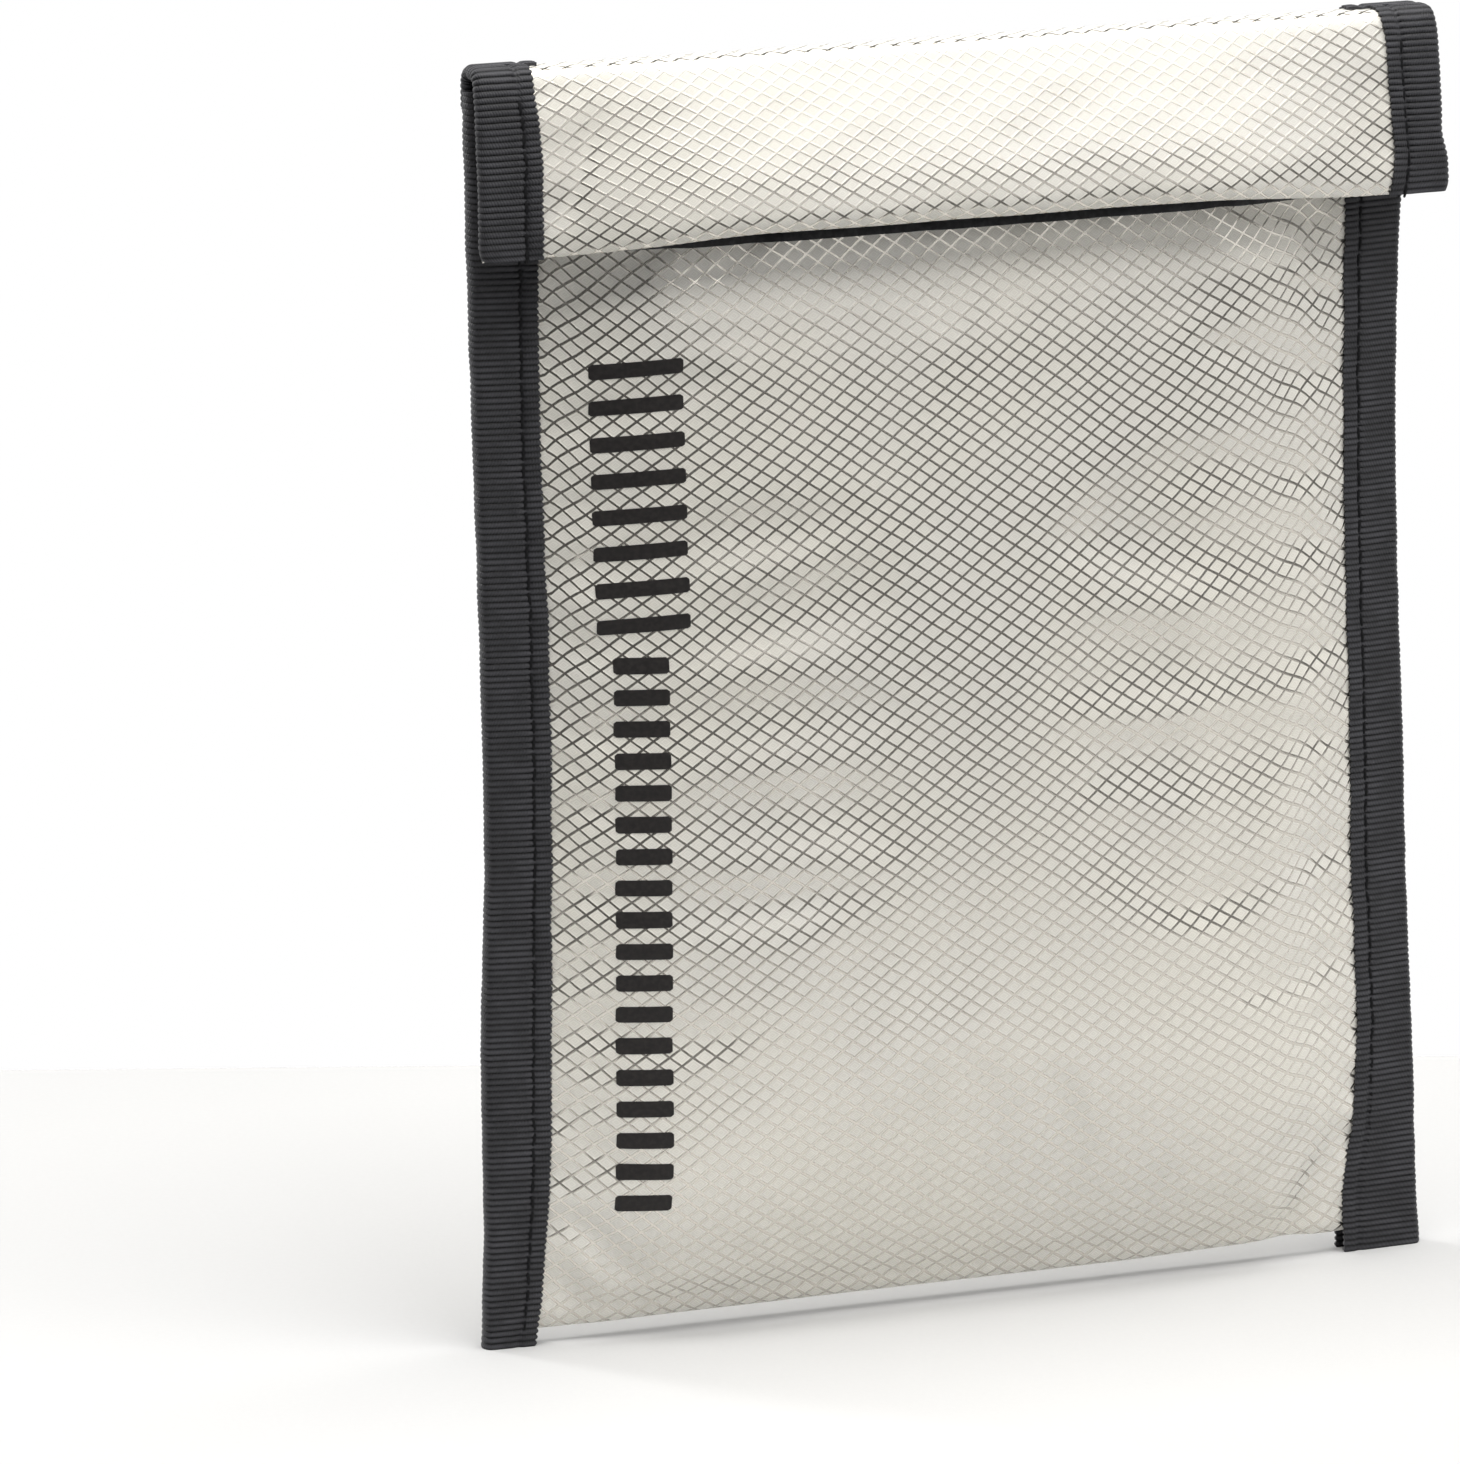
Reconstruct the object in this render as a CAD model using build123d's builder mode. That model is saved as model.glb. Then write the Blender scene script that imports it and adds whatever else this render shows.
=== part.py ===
"""A flat fire-resistant pouch for lithium battery packs, with a fold-over flap closed by hook-and-loop.

Frame: +X to the right, +Y to the back, +Z up. The pouch stands on the ends of its side bindings, and the
origin is the middle of its outline at the level of those ends. Millimetres.

Depths run forward from the back wall's outer face. An inset runs inward from the outer face of the cloth,
so a negative inset lies outside it.
"""

import math
import os

from build123d import *

os.makedirs("parts", exist_ok=True)

# ---------------------------------------------------------------- driving dimensions
WIDTH = 180.0  # over both side bindings
HEIGHT = 230.0  # from the binding ends to the top of the fold
OUTER = 0.5  # coated outer cloth
CORE = 0.4  # insulating middle layer
LINING = 0.3  # inner lining
TAPE = 0.6  # woven binding tape
TAPE_SHOWS = 12.5  # width of tape on each face
SEAM_GAP = 0.3  # between the two linings where the sides are sewn
CLOTH_BOTTOM = 3.2  # the folded bottom of the cloth, above the binding ends
LIP_Z = 222.0  # top edge of the front wall
FOLD_R = 3.2  # outer radius of both creases at the top
FRONT_CREASE_D = 6.6  # depth of the front crease's centre
FLAP_LEAN = 17.0  # degrees that the closed flap leans out
FLAP_EDGE_Z = 199.5  # lower edge of the closed flap
HEM = 8.0  # how far the flap's outer cloth is turned up inside
FASTENER = 0.8  # thickness of the hook strip and of the loop strip
FASTENER_W = 16.0
FASTENER_HALF = 74.0  # half the length of the hook strip
LOOP_HALF = 76.0  # half the length of the loop strip
LOOP_BOTTOM = 196.8
MOUTH_TAPE = 0.5
MOUTH_TAPE_SHOWS = 9.0
SEAM_IN = 3.0  # from the tape's inner edge to its row of stitches
THREAD = 0.2  # how far a row of stitches stands out
THREAD_W = 0.7
EDGE_STITCH = 1.6  # from the edge of a strip to its row of stitches
INK = 0.12

# Depth of the front wall down the middle of the pouch, from above the bottom fold to just under the lip.
TURN_DEPTH = 7.0
LIP_DEPTH = 7.1
FRONT_PROFILE = [
    (30, 14.6),
    (46, 16.2),
    (60, 16.6),
    (100, 16.6),
    (140, 16.6),
    (160, 16.3),
    (182, 15.2),
    (188, 14.0),
    (195, 12.2),
    (203, 11.2),
    (213, 9.5),
]
FULL_X = 44.0  # the front is full up to here, and falls away from here to the binding

# Plain blocks printed up the left of the front: (left, right, bottom, top) of each column, and its blocks.
PRINT_COLUMNS = [
    (-67.0, -57.5, 25.0, 125.0, 18),
    (-69.5, -53.5, 129.0, 178.0, 8),
]
PRINT_GAP = 2.8

# ---------------------------------------------------------------- worked out from them
WALL = OUTER + CORE + LINING
SEAM = 2 * WALL + SEAM_GAP  # depth of the two walls where they are sewn together
HALF = WIDTH / 2 - TAPE  # half the width of the cloth
BIND_X = WIDTH / 2 - TAPE_SHOWS  # inner edge of the side bindings
SEAM_X = BIND_X + SEAM_IN
TOP_Z = HEIGHT - TAPE - FOLD_R  # height of both crease centres
LEAN = math.radians(FLAP_LEAN)
FLAP_L = (TOP_Z - FLAP_EDGE_Z) / math.cos(LEAN)
BACK_MOST = TAPE + THREAD
FRONT_MOST = FRONT_CREASE_D + (FOLD_R + TAPE + THREAD + FLAP_L * math.sin(LEAN)) / math.cos(LEAN)
BACK_Y = (FRONT_MOST - BACK_MOST) / 2  # puts the middle of the whole depth at Y = 0
SIDES = {"left": (-WIDTH / 2, -BIND_X), "right": (BIND_X, WIDTH / 2)}
STATION_X = [HALF, BIND_X, 70.0, 62.0, 53.0, FULL_X]
STATIONS = [-x for x in STATION_X] + STATION_X[::-1]
ROOMY_STATIONS = STATIONS[3:-3]  # clear of the side seams, where the cavity is deep enough to sew a tape inside


def back(depth):
    """Y of a point at the given depth."""
    return BACK_Y - depth


def finish(part, label):
    """Labels a piece and writes it."""
    part.label = label
    export_step(part, f"parts/{label}.step")


def crease_pivot(centre_depth, start_deg, end_deg):
    """Depth and height of the hinge line that keeps a crease's cloth at its length as it opens.

    The angles are those of the crease's two ends about its centre, from straight forward towards the top.
    """
    turn = math.radians(end_deg - start_deg)
    middle = math.radians((start_deg + end_deg) / 2)
    middle_radius = FOLD_R - WALL / 2
    out = middle_radius * turn / (2 * math.sin(turn / 2))
    return centre_depth + out * math.cos(middle), TOP_Z + out * math.sin(middle)


# ---------------------------------------------------------------- outlines in the YZ plane, at one x
def depth_at(x, middle_depth):
    """Depth at x of a point of the front wall that is middle_depth deep down the middle."""
    t = min(1.0, max(0.0, (BIND_X - abs(x)) / (BIND_X - FULL_X)))
    fullness = t * t * (3 - 2 * t)
    return SEAM + (middle_depth - SEAM) * fullness


def wall_line(x, inset):
    """Draws one face of the wall at x, from the back's top round the bottom fold to the lip."""
    turn = depth_at(x, TURN_DEPTH)
    turn_z = CLOTH_BOTTOM + turn / 2
    top = (back(inset), TOP_Z)
    low_back = (back(inset), turn_z)
    low_middle = (back(turn / 2), CLOTH_BOTTOM + inset)
    low_front = (back(turn - inset), turn_z)
    front = [(back(depth_at(x, depth) - inset), z) for z, depth in FRONT_PROFILE]
    lip = (back(depth_at(x, LIP_DEPTH) - inset), LIP_Z)
    Line(top, low_back)
    ThreePointArc(low_back, low_middle, low_front)
    Spline(low_front, *front, lip, tangents=[(0, 1), (0, 1)])
    return top, lip


def layer_at(x, inset_a, inset_b):
    """Outline at x of the layer between two insets."""
    with BuildSketch(Plane.YZ.offset(x)) as outline:
        with BuildLine():
            top_a, lip_a = wall_line(x, inset_a)
            top_b, lip_b = wall_line(x, inset_b)
            Line(top_a, top_b)
            Line(lip_a, lip_b)
        make_face()
    return outline.sketch


def layer(inset_a, inset_b, stations=STATIONS):
    """Outlines of a layer at every station, for a loft."""
    return [layer_at(x, inset_a, inset_b) for x in stations]


def block_at(x, depth_a, depth_b, z_a, z_b):
    """Rectangle at x between two depths and two heights."""
    centre = ((back(depth_a) + back(depth_b)) / 2, (z_a + z_b) / 2)
    with BuildSketch(Plane.YZ.offset(x)) as outline:
        with Locations(centre):
            Rectangle(abs(depth_b - depth_a), z_b - z_a)
    return outline.sketch


def crease_at(x, centre_depth, start_deg, end_deg, inset_a, inset_b):
    """Part of a ring at x, about a crease's centre."""
    centre = Vector(back(centre_depth), TOP_Z)

    def on_ring(radius, angle):
        turn = math.radians(angle)
        return centre + Vector(-radius * math.cos(turn), radius * math.sin(turn))

    middle = (start_deg + end_deg) / 2
    radius_a = FOLD_R - inset_a
    radius_b = FOLD_R - inset_b
    with BuildSketch(Plane.YZ.offset(x)) as outline:
        with BuildLine():
            ThreePointArc(on_ring(radius_a, start_deg), on_ring(radius_a, middle), on_ring(radius_a, end_deg))
            ThreePointArc(on_ring(radius_b, start_deg), on_ring(radius_b, middle), on_ring(radius_b, end_deg))
            Line(on_ring(radius_a, start_deg), on_ring(radius_b, start_deg))
            Line(on_ring(radius_a, end_deg), on_ring(radius_b, end_deg))
        make_face()
    return outline.sketch


def back_crease_at(x, inset_a, inset_b):
    return crease_at(x, FOLD_R, 90, 180, inset_a, inset_b)


def front_crease_at(x, inset_a, inset_b):
    return crease_at(x, FRONT_CREASE_D, FLAP_LEAN, 90, inset_a, inset_b)


def top_at(x, inset_a, inset_b):
    """Rectangle at x in the flat strip between the two creases."""
    return block_at(x, FOLD_R, FRONT_CREASE_D, TOP_Z + FOLD_R - inset_b, TOP_Z + FOLD_R - inset_a)


def flap_at(x, along_a, along_b, inset_a, inset_b):
    """Rectangle at x in the closed flap, between two distances down from its crease and two insets."""
    plane = Plane(
        origin=(x, back(FRONT_CREASE_D), TOP_Z),
        x_dir=(0, -math.sin(LEAN), -math.cos(LEAN)),
        z_dir=(-1, 0, 0),
    )
    centre = ((along_a + along_b) / 2, FOLD_R - (inset_a + inset_b) / 2)
    with BuildSketch(plane) as outline:
        with Locations(centre):
            Rectangle(along_b - along_a, abs(inset_b - inset_a))
    return outline.sketch


def across(outline, x_a, x_b, mode=Mode.ADD):
    """Extrudes an outline drawn at x_a as far as x_b."""
    extrude(outline, amount=x_b - x_a, dir=(1, 0, 0), mode=mode)


def between(x_a, x_b, z_a, z_b):
    """Keeps only what belongs to the front wall, between two x and two heights."""
    across(block_at(x_a, SEAM - SEAM_GAP, FRONT_MOST, z_a, z_b), x_a, x_b, mode=Mode.INTERSECT)


# ---------------------------------------------------------------- pouch: walls
with BuildPart() as outer_cloth:
    loft(layer(0, OUTER), ruled=True, clean=False)
finish(outer_cloth.part, "outer_cloth")

with BuildPart() as core_layer:
    loft(layer(OUTER, OUTER + CORE), ruled=True)
finish(core_layer.part, "core_layer")

with BuildPart() as inner_lining:
    loft(layer(OUTER + CORE, WALL), ruled=True)
finish(inner_lining.part, "inner_lining")


# ---------------------------------------------------------------- pouch: what is sewn on the front wall
def row_on_front(inset_a, inset_b, half_length, z, stations=STATIONS):
    """A straight row of stitches across the front wall, between two insets."""
    with BuildPart(mode=Mode.PRIVATE) as row:
        loft(layer(inset_a, inset_b, stations), ruled=True)
        between(-half_length, half_length, z - THREAD_W / 2, z + THREAD_W / 2)
    return row.part


with BuildPart() as loop_strip:
    loft(layer(-FASTENER, 0), ruled=True)
    between(-LOOP_HALF, LOOP_HALF, LOOP_BOTTOM, LOOP_BOTTOM + FASTENER_W)
finish(loop_strip.part, "loop_strip")

with BuildPart() as loop_strip_thread:
    for z in (LOOP_BOTTOM + EDGE_STITCH, LOOP_BOTTOM + FASTENER_W - EDGE_STITCH):
        add(row_on_front(-FASTENER - THREAD, -FASTENER, LOOP_HALF - EDGE_STITCH, z))
finish(loop_strip_thread.part, "loop_strip_thread")


def mouth_cap_at(x):
    """Section at x of the tape that lies on the front wall's top edge."""
    front = depth_at(x, LIP_DEPTH) + MOUTH_TAPE
    rear = max(WALL + SEAM_GAP / 2, depth_at(x, LIP_DEPTH) - WALL - MOUTH_TAPE)
    return block_at(x, rear, front, LIP_Z, LIP_Z + MOUTH_TAPE)


with BuildPart() as mouth_inside:
    loft(layer(WALL, WALL + MOUTH_TAPE, ROOMY_STATIONS), ruled=True)
    between(ROOMY_STATIONS[0], ROOMY_STATIONS[-1], LIP_Z - MOUTH_TAPE_SHOWS, LIP_Z)

with BuildPart() as mouth_binding:
    loft(layer(-MOUTH_TAPE, 0), ruled=True)
    between(-BIND_X, BIND_X, LIP_Z - MOUTH_TAPE_SHOWS, LIP_Z)
    loft([mouth_cap_at(x) for x in STATIONS[1:-1]], ruled=True)
    add(mouth_inside.part)
finish(mouth_binding.part, "mouth_binding")

with BuildPart() as mouth_binding_thread:
    mouth_row_z = LIP_Z - MOUTH_TAPE_SHOWS + EDGE_STITCH
    add(row_on_front(-MOUTH_TAPE - THREAD, -MOUTH_TAPE, BIND_X - 1, mouth_row_z))
    inner_row = (WALL + MOUTH_TAPE, WALL + MOUTH_TAPE + THREAD)
    add(row_on_front(*inner_row, ROOMY_STATIONS[-1] - 4, mouth_row_z, ROOMY_STATIONS))
finish(mouth_binding_thread.part, "mouth_binding_thread")

with BuildPart() as print_blocks:
    for left, right, bottom, top, count in PRINT_COLUMNS:
        pitch = (top - bottom + PRINT_GAP) / count
        for k in range(count):
            low = bottom + k * pitch
            across(block_at(left, WALL, FRONT_MOST, low, low + pitch - PRINT_GAP), left, right)

with BuildPart() as front_print:
    loft(layer(-INK, 0), ruled=True)
    add(print_blocks.part, mode=Mode.INTERSECT)
finish(front_print.part, "front_print")

# ---------------------------------------------------------------- bindings and their stitches, side by side
for side, (x_a, x_b) in SIDES.items():
    row_x = (SEAM_X if side == "right" else -SEAM_X) - THREAD_W / 2

    with BuildPart() as side_binding:
        across(block_at(x_a, -TAPE, SEAM + TAPE, 0, LIP_Z), x_a, x_b)
        across(block_at(x_a, -TAPE, WALL + TAPE, LIP_Z, TOP_Z), x_a, x_b)
        across(block_at(-HALF, 0, SEAM, CLOTH_BOTTOM, LIP_Z), -HALF, HALF, mode=Mode.SUBTRACT)
        across(block_at(-HALF, 0, WALL, LIP_Z, TOP_Z), -HALF, HALF, mode=Mode.SUBTRACT)
    finish(side_binding.part, f"{side}_binding")

    with BuildPart() as side_thread:
        for inner, outer, row_top in ((-TAPE, -TAPE - THREAD, TOP_Z), (SEAM + TAPE, SEAM + TAPE + THREAD, LIP_Z)):
            across(block_at(row_x, inner, outer, CLOTH_BOTTOM, row_top), row_x, row_x + THREAD_W)
    finish(side_thread.part, f"{side}_binding_thread")

    with BuildPart() as top_binding:
        across(top_at(x_a, -TAPE, WALL + TAPE), x_a, x_b)
        across(top_at(-HALF, 0, WALL), -HALF, HALF, mode=Mode.SUBTRACT)
    finish(top_binding.part, f"top_{side}_binding")

    with BuildPart() as flap_binding:
        across(flap_at(x_a, 0, FLAP_L, -TAPE, WALL + TAPE), x_a, x_b)
        across(flap_at(-HALF, 0, FLAP_L, 0, WALL), -HALF, HALF, mode=Mode.SUBTRACT)
    finish(flap_binding.part, f"flap_{side}_binding")

    with BuildPart() as flap_thread:
        for inner, outer in ((-TAPE - THREAD, -TAPE), (WALL + TAPE, WALL + TAPE + THREAD)):
            across(flap_at(row_x, 0, FLAP_L - 1, inner, outer), row_x, row_x + THREAD_W)
    finish(flap_thread.part, f"flap_{side}_binding_thread")

# ---------------------------------------------------------------- the two creases, which bend as the flap opens
CREASES = {"back_crease": back_crease_at, "front_crease": front_crease_at}
for name, outline_at in CREASES.items():
    with BuildPart() as crease_cloth:
        across(outline_at(-HALF, 0, WALL), -HALF, HALF)
    finish(crease_cloth.part, f"{name}_cloth")

    with BuildPart() as crease_tape:
        for x_a, x_b in SIDES.values():
            across(outline_at(x_a, -TAPE, WALL + TAPE), x_a, x_b)
        across(outline_at(-HALF, 0, WALL), -HALF, HALF, mode=Mode.SUBTRACT)
    finish(crease_tape.part, f"{name}_tape")

# ---------------------------------------------------------------- the flat strip on top
TOP_LAYERS = {
    "top_outer_cloth": (0, OUTER),
    "top_core_layer": (OUTER, OUTER + CORE),
    "top_inner_lining": (OUTER + CORE, WALL),
}
for name, (inset_a, inset_b) in TOP_LAYERS.items():
    with BuildPart() as top_layer:
        across(top_at(-HALF, inset_a, inset_b), -HALF, HALF)
    finish(top_layer.part, name)

# ---------------------------------------------------------------- flap
with BuildPart() as flap_outer_cloth:
    across(flap_at(-HALF, 0, FLAP_L, 0, OUTER), -HALF, HALF)
    across(flap_at(-HALF, FLAP_L - HEM, FLAP_L, OUTER, WALL), -HALF, HALF)
finish(flap_outer_cloth.part, "flap_outer_cloth")

with BuildPart() as flap_core_layer:
    across(flap_at(-HALF, 0, FLAP_L - HEM, OUTER, OUTER + CORE), -HALF, HALF)
finish(flap_core_layer.part, "flap_core_layer")

with BuildPart() as flap_inner_lining:
    across(flap_at(-HALF, 0, FLAP_L - HEM, OUTER + CORE, WALL), -HALF, HALF)
finish(flap_inner_lining.part, "flap_inner_lining")

HOOK_END = FLAP_L - 1.0
with BuildPart() as hook_strip:
    strip = flap_at(-FASTENER_HALF, HOOK_END - FASTENER_W, HOOK_END, WALL, WALL + FASTENER)
    across(strip, -FASTENER_HALF, FASTENER_HALF)
finish(hook_strip.part, "hook_strip")

with BuildPart() as hook_strip_thread:
    row_half = FASTENER_HALF - EDGE_STITCH
    for along in (HOOK_END - FASTENER_W + EDGE_STITCH, HOOK_END - EDGE_STITCH):
        row_a = along - THREAD_W / 2
        row = flap_at(-row_half, row_a, row_a + THREAD_W, WALL + FASTENER, WALL + FASTENER + THREAD)
        across(row, -row_half, row_half)
finish(hook_strip_thread.part, "hook_strip_thread")

# ---------------------------------------------------------------- where the hinge lines run
print("back wall's outer face at y =", round(BACK_Y, 3))
print("back crease (depth, z):", crease_pivot(FOLD_R, 90, 180))
print("front crease (depth, z):", crease_pivot(FRONT_CREASE_D, FLAP_LEAN, 90))
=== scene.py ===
"""Looks for the battery pouch: its cloth, tapes, stitches, fastener, print, materials, light and camera.

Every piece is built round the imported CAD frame. Lengths here are in millimetres, and make_piece() turns them
into metres. A depth runs forward (towards -Y) from the back wall's outer face. An inset runs inward from the
outer face of the cloth. u is the distance across the flat cloth from its middle, and v the distance along it.
"""

import math

import bpy
import numpy as np
from mathutils import Matrix, Vector


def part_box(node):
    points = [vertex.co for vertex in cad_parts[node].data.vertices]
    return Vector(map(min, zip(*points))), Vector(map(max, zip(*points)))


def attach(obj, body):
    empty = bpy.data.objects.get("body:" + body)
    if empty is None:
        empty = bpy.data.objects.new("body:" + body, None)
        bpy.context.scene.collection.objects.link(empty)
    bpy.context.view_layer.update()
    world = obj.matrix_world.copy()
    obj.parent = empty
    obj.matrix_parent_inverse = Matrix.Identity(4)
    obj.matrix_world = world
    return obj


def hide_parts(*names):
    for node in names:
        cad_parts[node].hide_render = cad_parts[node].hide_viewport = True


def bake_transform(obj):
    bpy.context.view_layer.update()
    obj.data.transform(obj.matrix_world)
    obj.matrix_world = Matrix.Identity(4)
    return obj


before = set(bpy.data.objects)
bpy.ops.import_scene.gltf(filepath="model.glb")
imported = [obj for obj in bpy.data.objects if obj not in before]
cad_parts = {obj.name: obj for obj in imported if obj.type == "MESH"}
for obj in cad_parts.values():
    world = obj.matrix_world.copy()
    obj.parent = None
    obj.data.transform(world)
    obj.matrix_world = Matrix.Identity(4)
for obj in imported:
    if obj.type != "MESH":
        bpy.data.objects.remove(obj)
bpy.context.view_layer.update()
MM = 0.001


# ---------------------------------------------------------------- sizes, from the frame
def cad(node):
    """Lowest and highest corner of a CAD node, in mm."""
    low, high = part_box(node)
    return np.array(low) / MM, np.array(high) / MM


def thick(node):
    """Height of one of the flat layers in the strip on top."""
    low, high = cad(node)
    return high[2] - low[2]


CLOTH_LOW, CLOTH_HIGH = cad("outer_cloth")
TOP_LOW, TOP_HIGH = cad("top_outer_cloth")
OUTER = thick("top_outer_cloth")
CORE = thick("top_core_layer")
LINING = thick("top_inner_lining")
WALL = OUTER + CORE + LINING
TAPE = cad("top_left_binding")[1][2] - TOP_HIGH[2]
BACK_Y = CLOTH_HIGH[1]
SEAM = BACK_Y - TAPE - cad("left_binding")[0][1]  # depth of both walls where they are sewn together
HALF = CLOTH_HIGH[0]  # half the width of the cloth
BIND_X = -cad("left_binding")[1][0]  # inner edge of the side bindings
CLOTH_BOTTOM = CLOTH_LOW[2]
TOP_Z = CLOTH_HIGH[2]  # height of both crease centres
FOLD_R = TOP_HIGH[2] - TOP_Z
FRONT_CREASE_D = BACK_Y - TOP_LOW[1]
MID_TOP_D = (FOLD_R + FRONT_CREASE_D) / 2  # the cloth's meshes meet here, on the flat strip
MOUTH_HIGH = cad("mouth_binding")[1]
LOOP_LOW, LOOP_HIGH = cad("loop_strip")
HOOK_HIGH = cad("hook_strip")[1]
FASTENER = 0.8
MOUTH_TAPE = 0.5
LIP_Z = MOUTH_HIGH[2] - MOUTH_TAPE
SPLIT_Z = 14.0  # the front and the back meshes of the cloth meet here, low on the back
HEM = 8.0

# ---------------------------------------------------------------- shapes that the soft parts take
EDGE_LIFT = 2.1  # the puffed front lifts the inner edge of the side tapes by this much
PROFILE = [
    (5.7, 5.5), (14, 10.3), (22, 13.0), (30, 14.8), (40, 16.1), (55, 16.8), (100, 17.1), (130, 16.8),
    (150, 16.4), (170, 15.8), (180, 15.4), (185, 14.8), (189, 13.5), (193, 12.2), (197, 11.7), (205, 10.9),
    (213, 9.5), (222, 7.1),
]  # height, and depth of the front wall down the middle
FALL = [
    (0, 0), (20, 0.02), (36, 0.076), (48, 0.152), (54, 0.212), (60, 0.333), (66, 0.53), (72, 0.773),
    (77.5, 1),
]  # distance from the middle, and the share of the bulge that is gone there
# Height, and x of the side tapes' outer and inner edges.
LEFT_OUT = [
    (0, -90.6), (14, -90.0), (60, -89.7), (85, -88.7), (110, -88.7), (150, -89.4), (192, -90.2), (226, -90.6),
]
LEFT_IN = [
    (0, -81.4), (8, -80.2), (19, -79.4), (30, -78.7), (50, -78.3), (128, -77.8), (165, -78.6), (226, -78.4),
]
RIGHT_IN = [
    (0, 75.5), (14, 75.2), (25, 76.5), (47, 77.1), (70, 76.0), (103, 75.4), (137, 74.3), (175, 73.9),
    (226, 74.6),
]
RIGHT_OUT = [
    (0, 91.3), (6, 90.8), (17, 90.2), (34, 89.8), (57, 88.6), (102, 87.0), (135, 85.8), (190, 86.0),
    (226, 88.6),
]
# Distance along the flap, and x of its tapes' edges.
FLAP_LEFT_OUT = [(0, -91.0), (12, -91.4), (24, -91.3), (36, -91.4)]
FLAP_LEFT_IN = [(0, -81.0), (10, -80.5), (22, -80.2), (36, -80.3)]
FLAP_RIGHT_IN = [(0, 78.8), (10, 79.2), (22, 79.8), (30, 80.1), (36, 79.4)]
FLAP_RIGHT_OUT = [(0, 89.4), (10, 89.7), (20, 89.9), (26, 90.0), (30, 91.1), (36, 91.3)]
FLAP_BENDS = [
    (0, 0), (1.7, 0), (4.8, 54), (9, 63), (18, 67), (26, 71), (29.5, 78), (32.5, 90), (34, 108), (35.6, 138),
]  # distance along the flap's middle, and how far it has turned down from level
FLAP_END_BENDS = [
    (0, 0), (1.7, 0), (4.8, 62), (9, 79), (18, 85), (28, 89), (35.6, 90),
]  # the same at its ends
FLAP_LENGTH = 35.6
RIB = 1.1  # from one rib of the tape to the next
RIB_HEIGHT = 0.22
STITCH_IN = 3.0  # from the tape's inner edge to its stitches
STITCH = 3.1


def curve(points):
    """A smooth function through a few points."""
    xs, ys = np.array(points, float).T
    slopes = np.gradient(ys, xs)

    def value(x):
        x = np.clip(np.asarray(x, float), xs[0], xs[-1])
        k = np.clip(np.searchsorted(xs, x) - 1, 0, len(xs) - 2)
        h = xs[k + 1] - xs[k]
        t = (x - xs[k]) / h
        return (
            (1 + 2 * t) * (1 - t) ** 2 * ys[k]
            + t * (1 - t) ** 2 * h * slopes[k]
            + t * t * (3 - 2 * t) * ys[k + 1]
            + t * t * (t - 1) * h * slopes[k + 1]
        )

    return value


def step(low, high, x):
    """0 below low, 1 above high, and smooth between."""
    t = np.clip((x - low) / (high - low), 0, 1)
    return t * t * (3 - 2 * t)


def waves(x, y, seed, size, octaves=3):
    """Smooth irregular hills and hollows between about -1 and 1, size apart."""
    rng = np.random.default_rng(seed)
    total = np.zeros(np.broadcast(x, y).shape)
    for k in range(octaves):
        for _ in range(4):
            turn = rng.uniform(0, 2 * math.pi)
            phase = rng.uniform(0, 2 * math.pi)
            reach = 2 * math.pi / (size / 1.7**k * rng.uniform(0.8, 1.3))
            total = total + np.sin(reach * (x * math.cos(turn) + y * math.sin(turn)) + phase) / 1.8**k
    return total / 5


profile = curve(PROFILE)
fall = curve(FALL)
body_lines = [curve(points) for points in (LEFT_OUT, LEFT_IN, RIGHT_IN, RIGHT_OUT)]
flap_lines = [curve(points) for points in (FLAP_LEFT_OUT, FLAP_LEFT_IN, FLAP_RIGHT_IN, FLAP_RIGHT_OUT)]


def spread(u, along, lines):
    """X of the cloth's point u, where the tapes' edges are at the given distance along."""
    left_out, left_in, right_in, right_out = (line(along) for line in lines)
    outer_left = left_out + TAPE + (u + HALF) / (HALF - BIND_X) * (left_in - left_out - TAPE)
    outer_right = right_out - TAPE + (u - HALF) / (HALF - BIND_X) * (right_out - TAPE - right_in)
    middle = left_in + (u + BIND_X) / (2 * BIND_X) * (right_in - left_in)
    return np.where(u < -BIND_X, outer_left, np.where(u > BIND_X, outer_right, middle))


def fullness(u):
    """Share of the middle's bulge at u."""
    return 1 - fall(np.abs(u))


def seam_depth(u, z):
    """Depth of the front's outer face in the side seam and at its inner edge."""
    inward = np.clip((HALF - np.abs(u)) / (HALF - BIND_X), 0, 1)
    return SEAM + EDGE_LIFT * inward * (0.25 + 0.75 * step(0, 34, z)) * (0.6 + 0.4 * step(TOP_Z, 190, z))


def dents(u, z):
    """Soft unevenness of the filled front, and the puckers along its seams, as depth."""
    inside = BIND_X - np.abs(u)
    soft = 0.32 * waves(u * 1.5, z * 0.7, 3, 55) * step(0, 18, inside) * step(4, 24, z)
    right_folds = 0.45 * np.sin((u - 0.12 * (z - 90)) / 4.6) * step(34, 46, u) * step(74, 62, u)
    right_folds = right_folds * step(40, 70, z) * step(150, 105, z)
    pucker = 0.28 * np.sin(z / 1.9 + 2.2 * waves(z, 0 * z, 8, 40)) * np.exp(-np.clip(inside, 0, None) / 4.0)
    pucker = pucker * step(-1, 1, inside) * (1 + 0.8 * step(60, 20, z))
    corner = np.exp(-(((u - 68) / 9) ** 2) - ((z - 13) / 9) ** 2)
    crush = 1.0 * corner * np.sin((u - 0.7 * z) / 2.6)
    left_corner = np.exp(-(((u + 71) / 6) ** 2) - ((z - 12) / 10) ** 2)
    crush = crush + 0.5 * left_corner * np.sin((u + 0.9 * z) / 2.4)
    return soft + right_folds + pucker + crush


def cloth_bottom(u):
    """Height of the folded bottom of the cloth."""
    right, left = 0.5 * step(30, 60, u), 0.5 * step(-50, -74, u)
    return CLOTH_BOTTOM + right - left + 0.45 * np.exp(-(((u - 66) / 5) ** 2))


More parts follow.
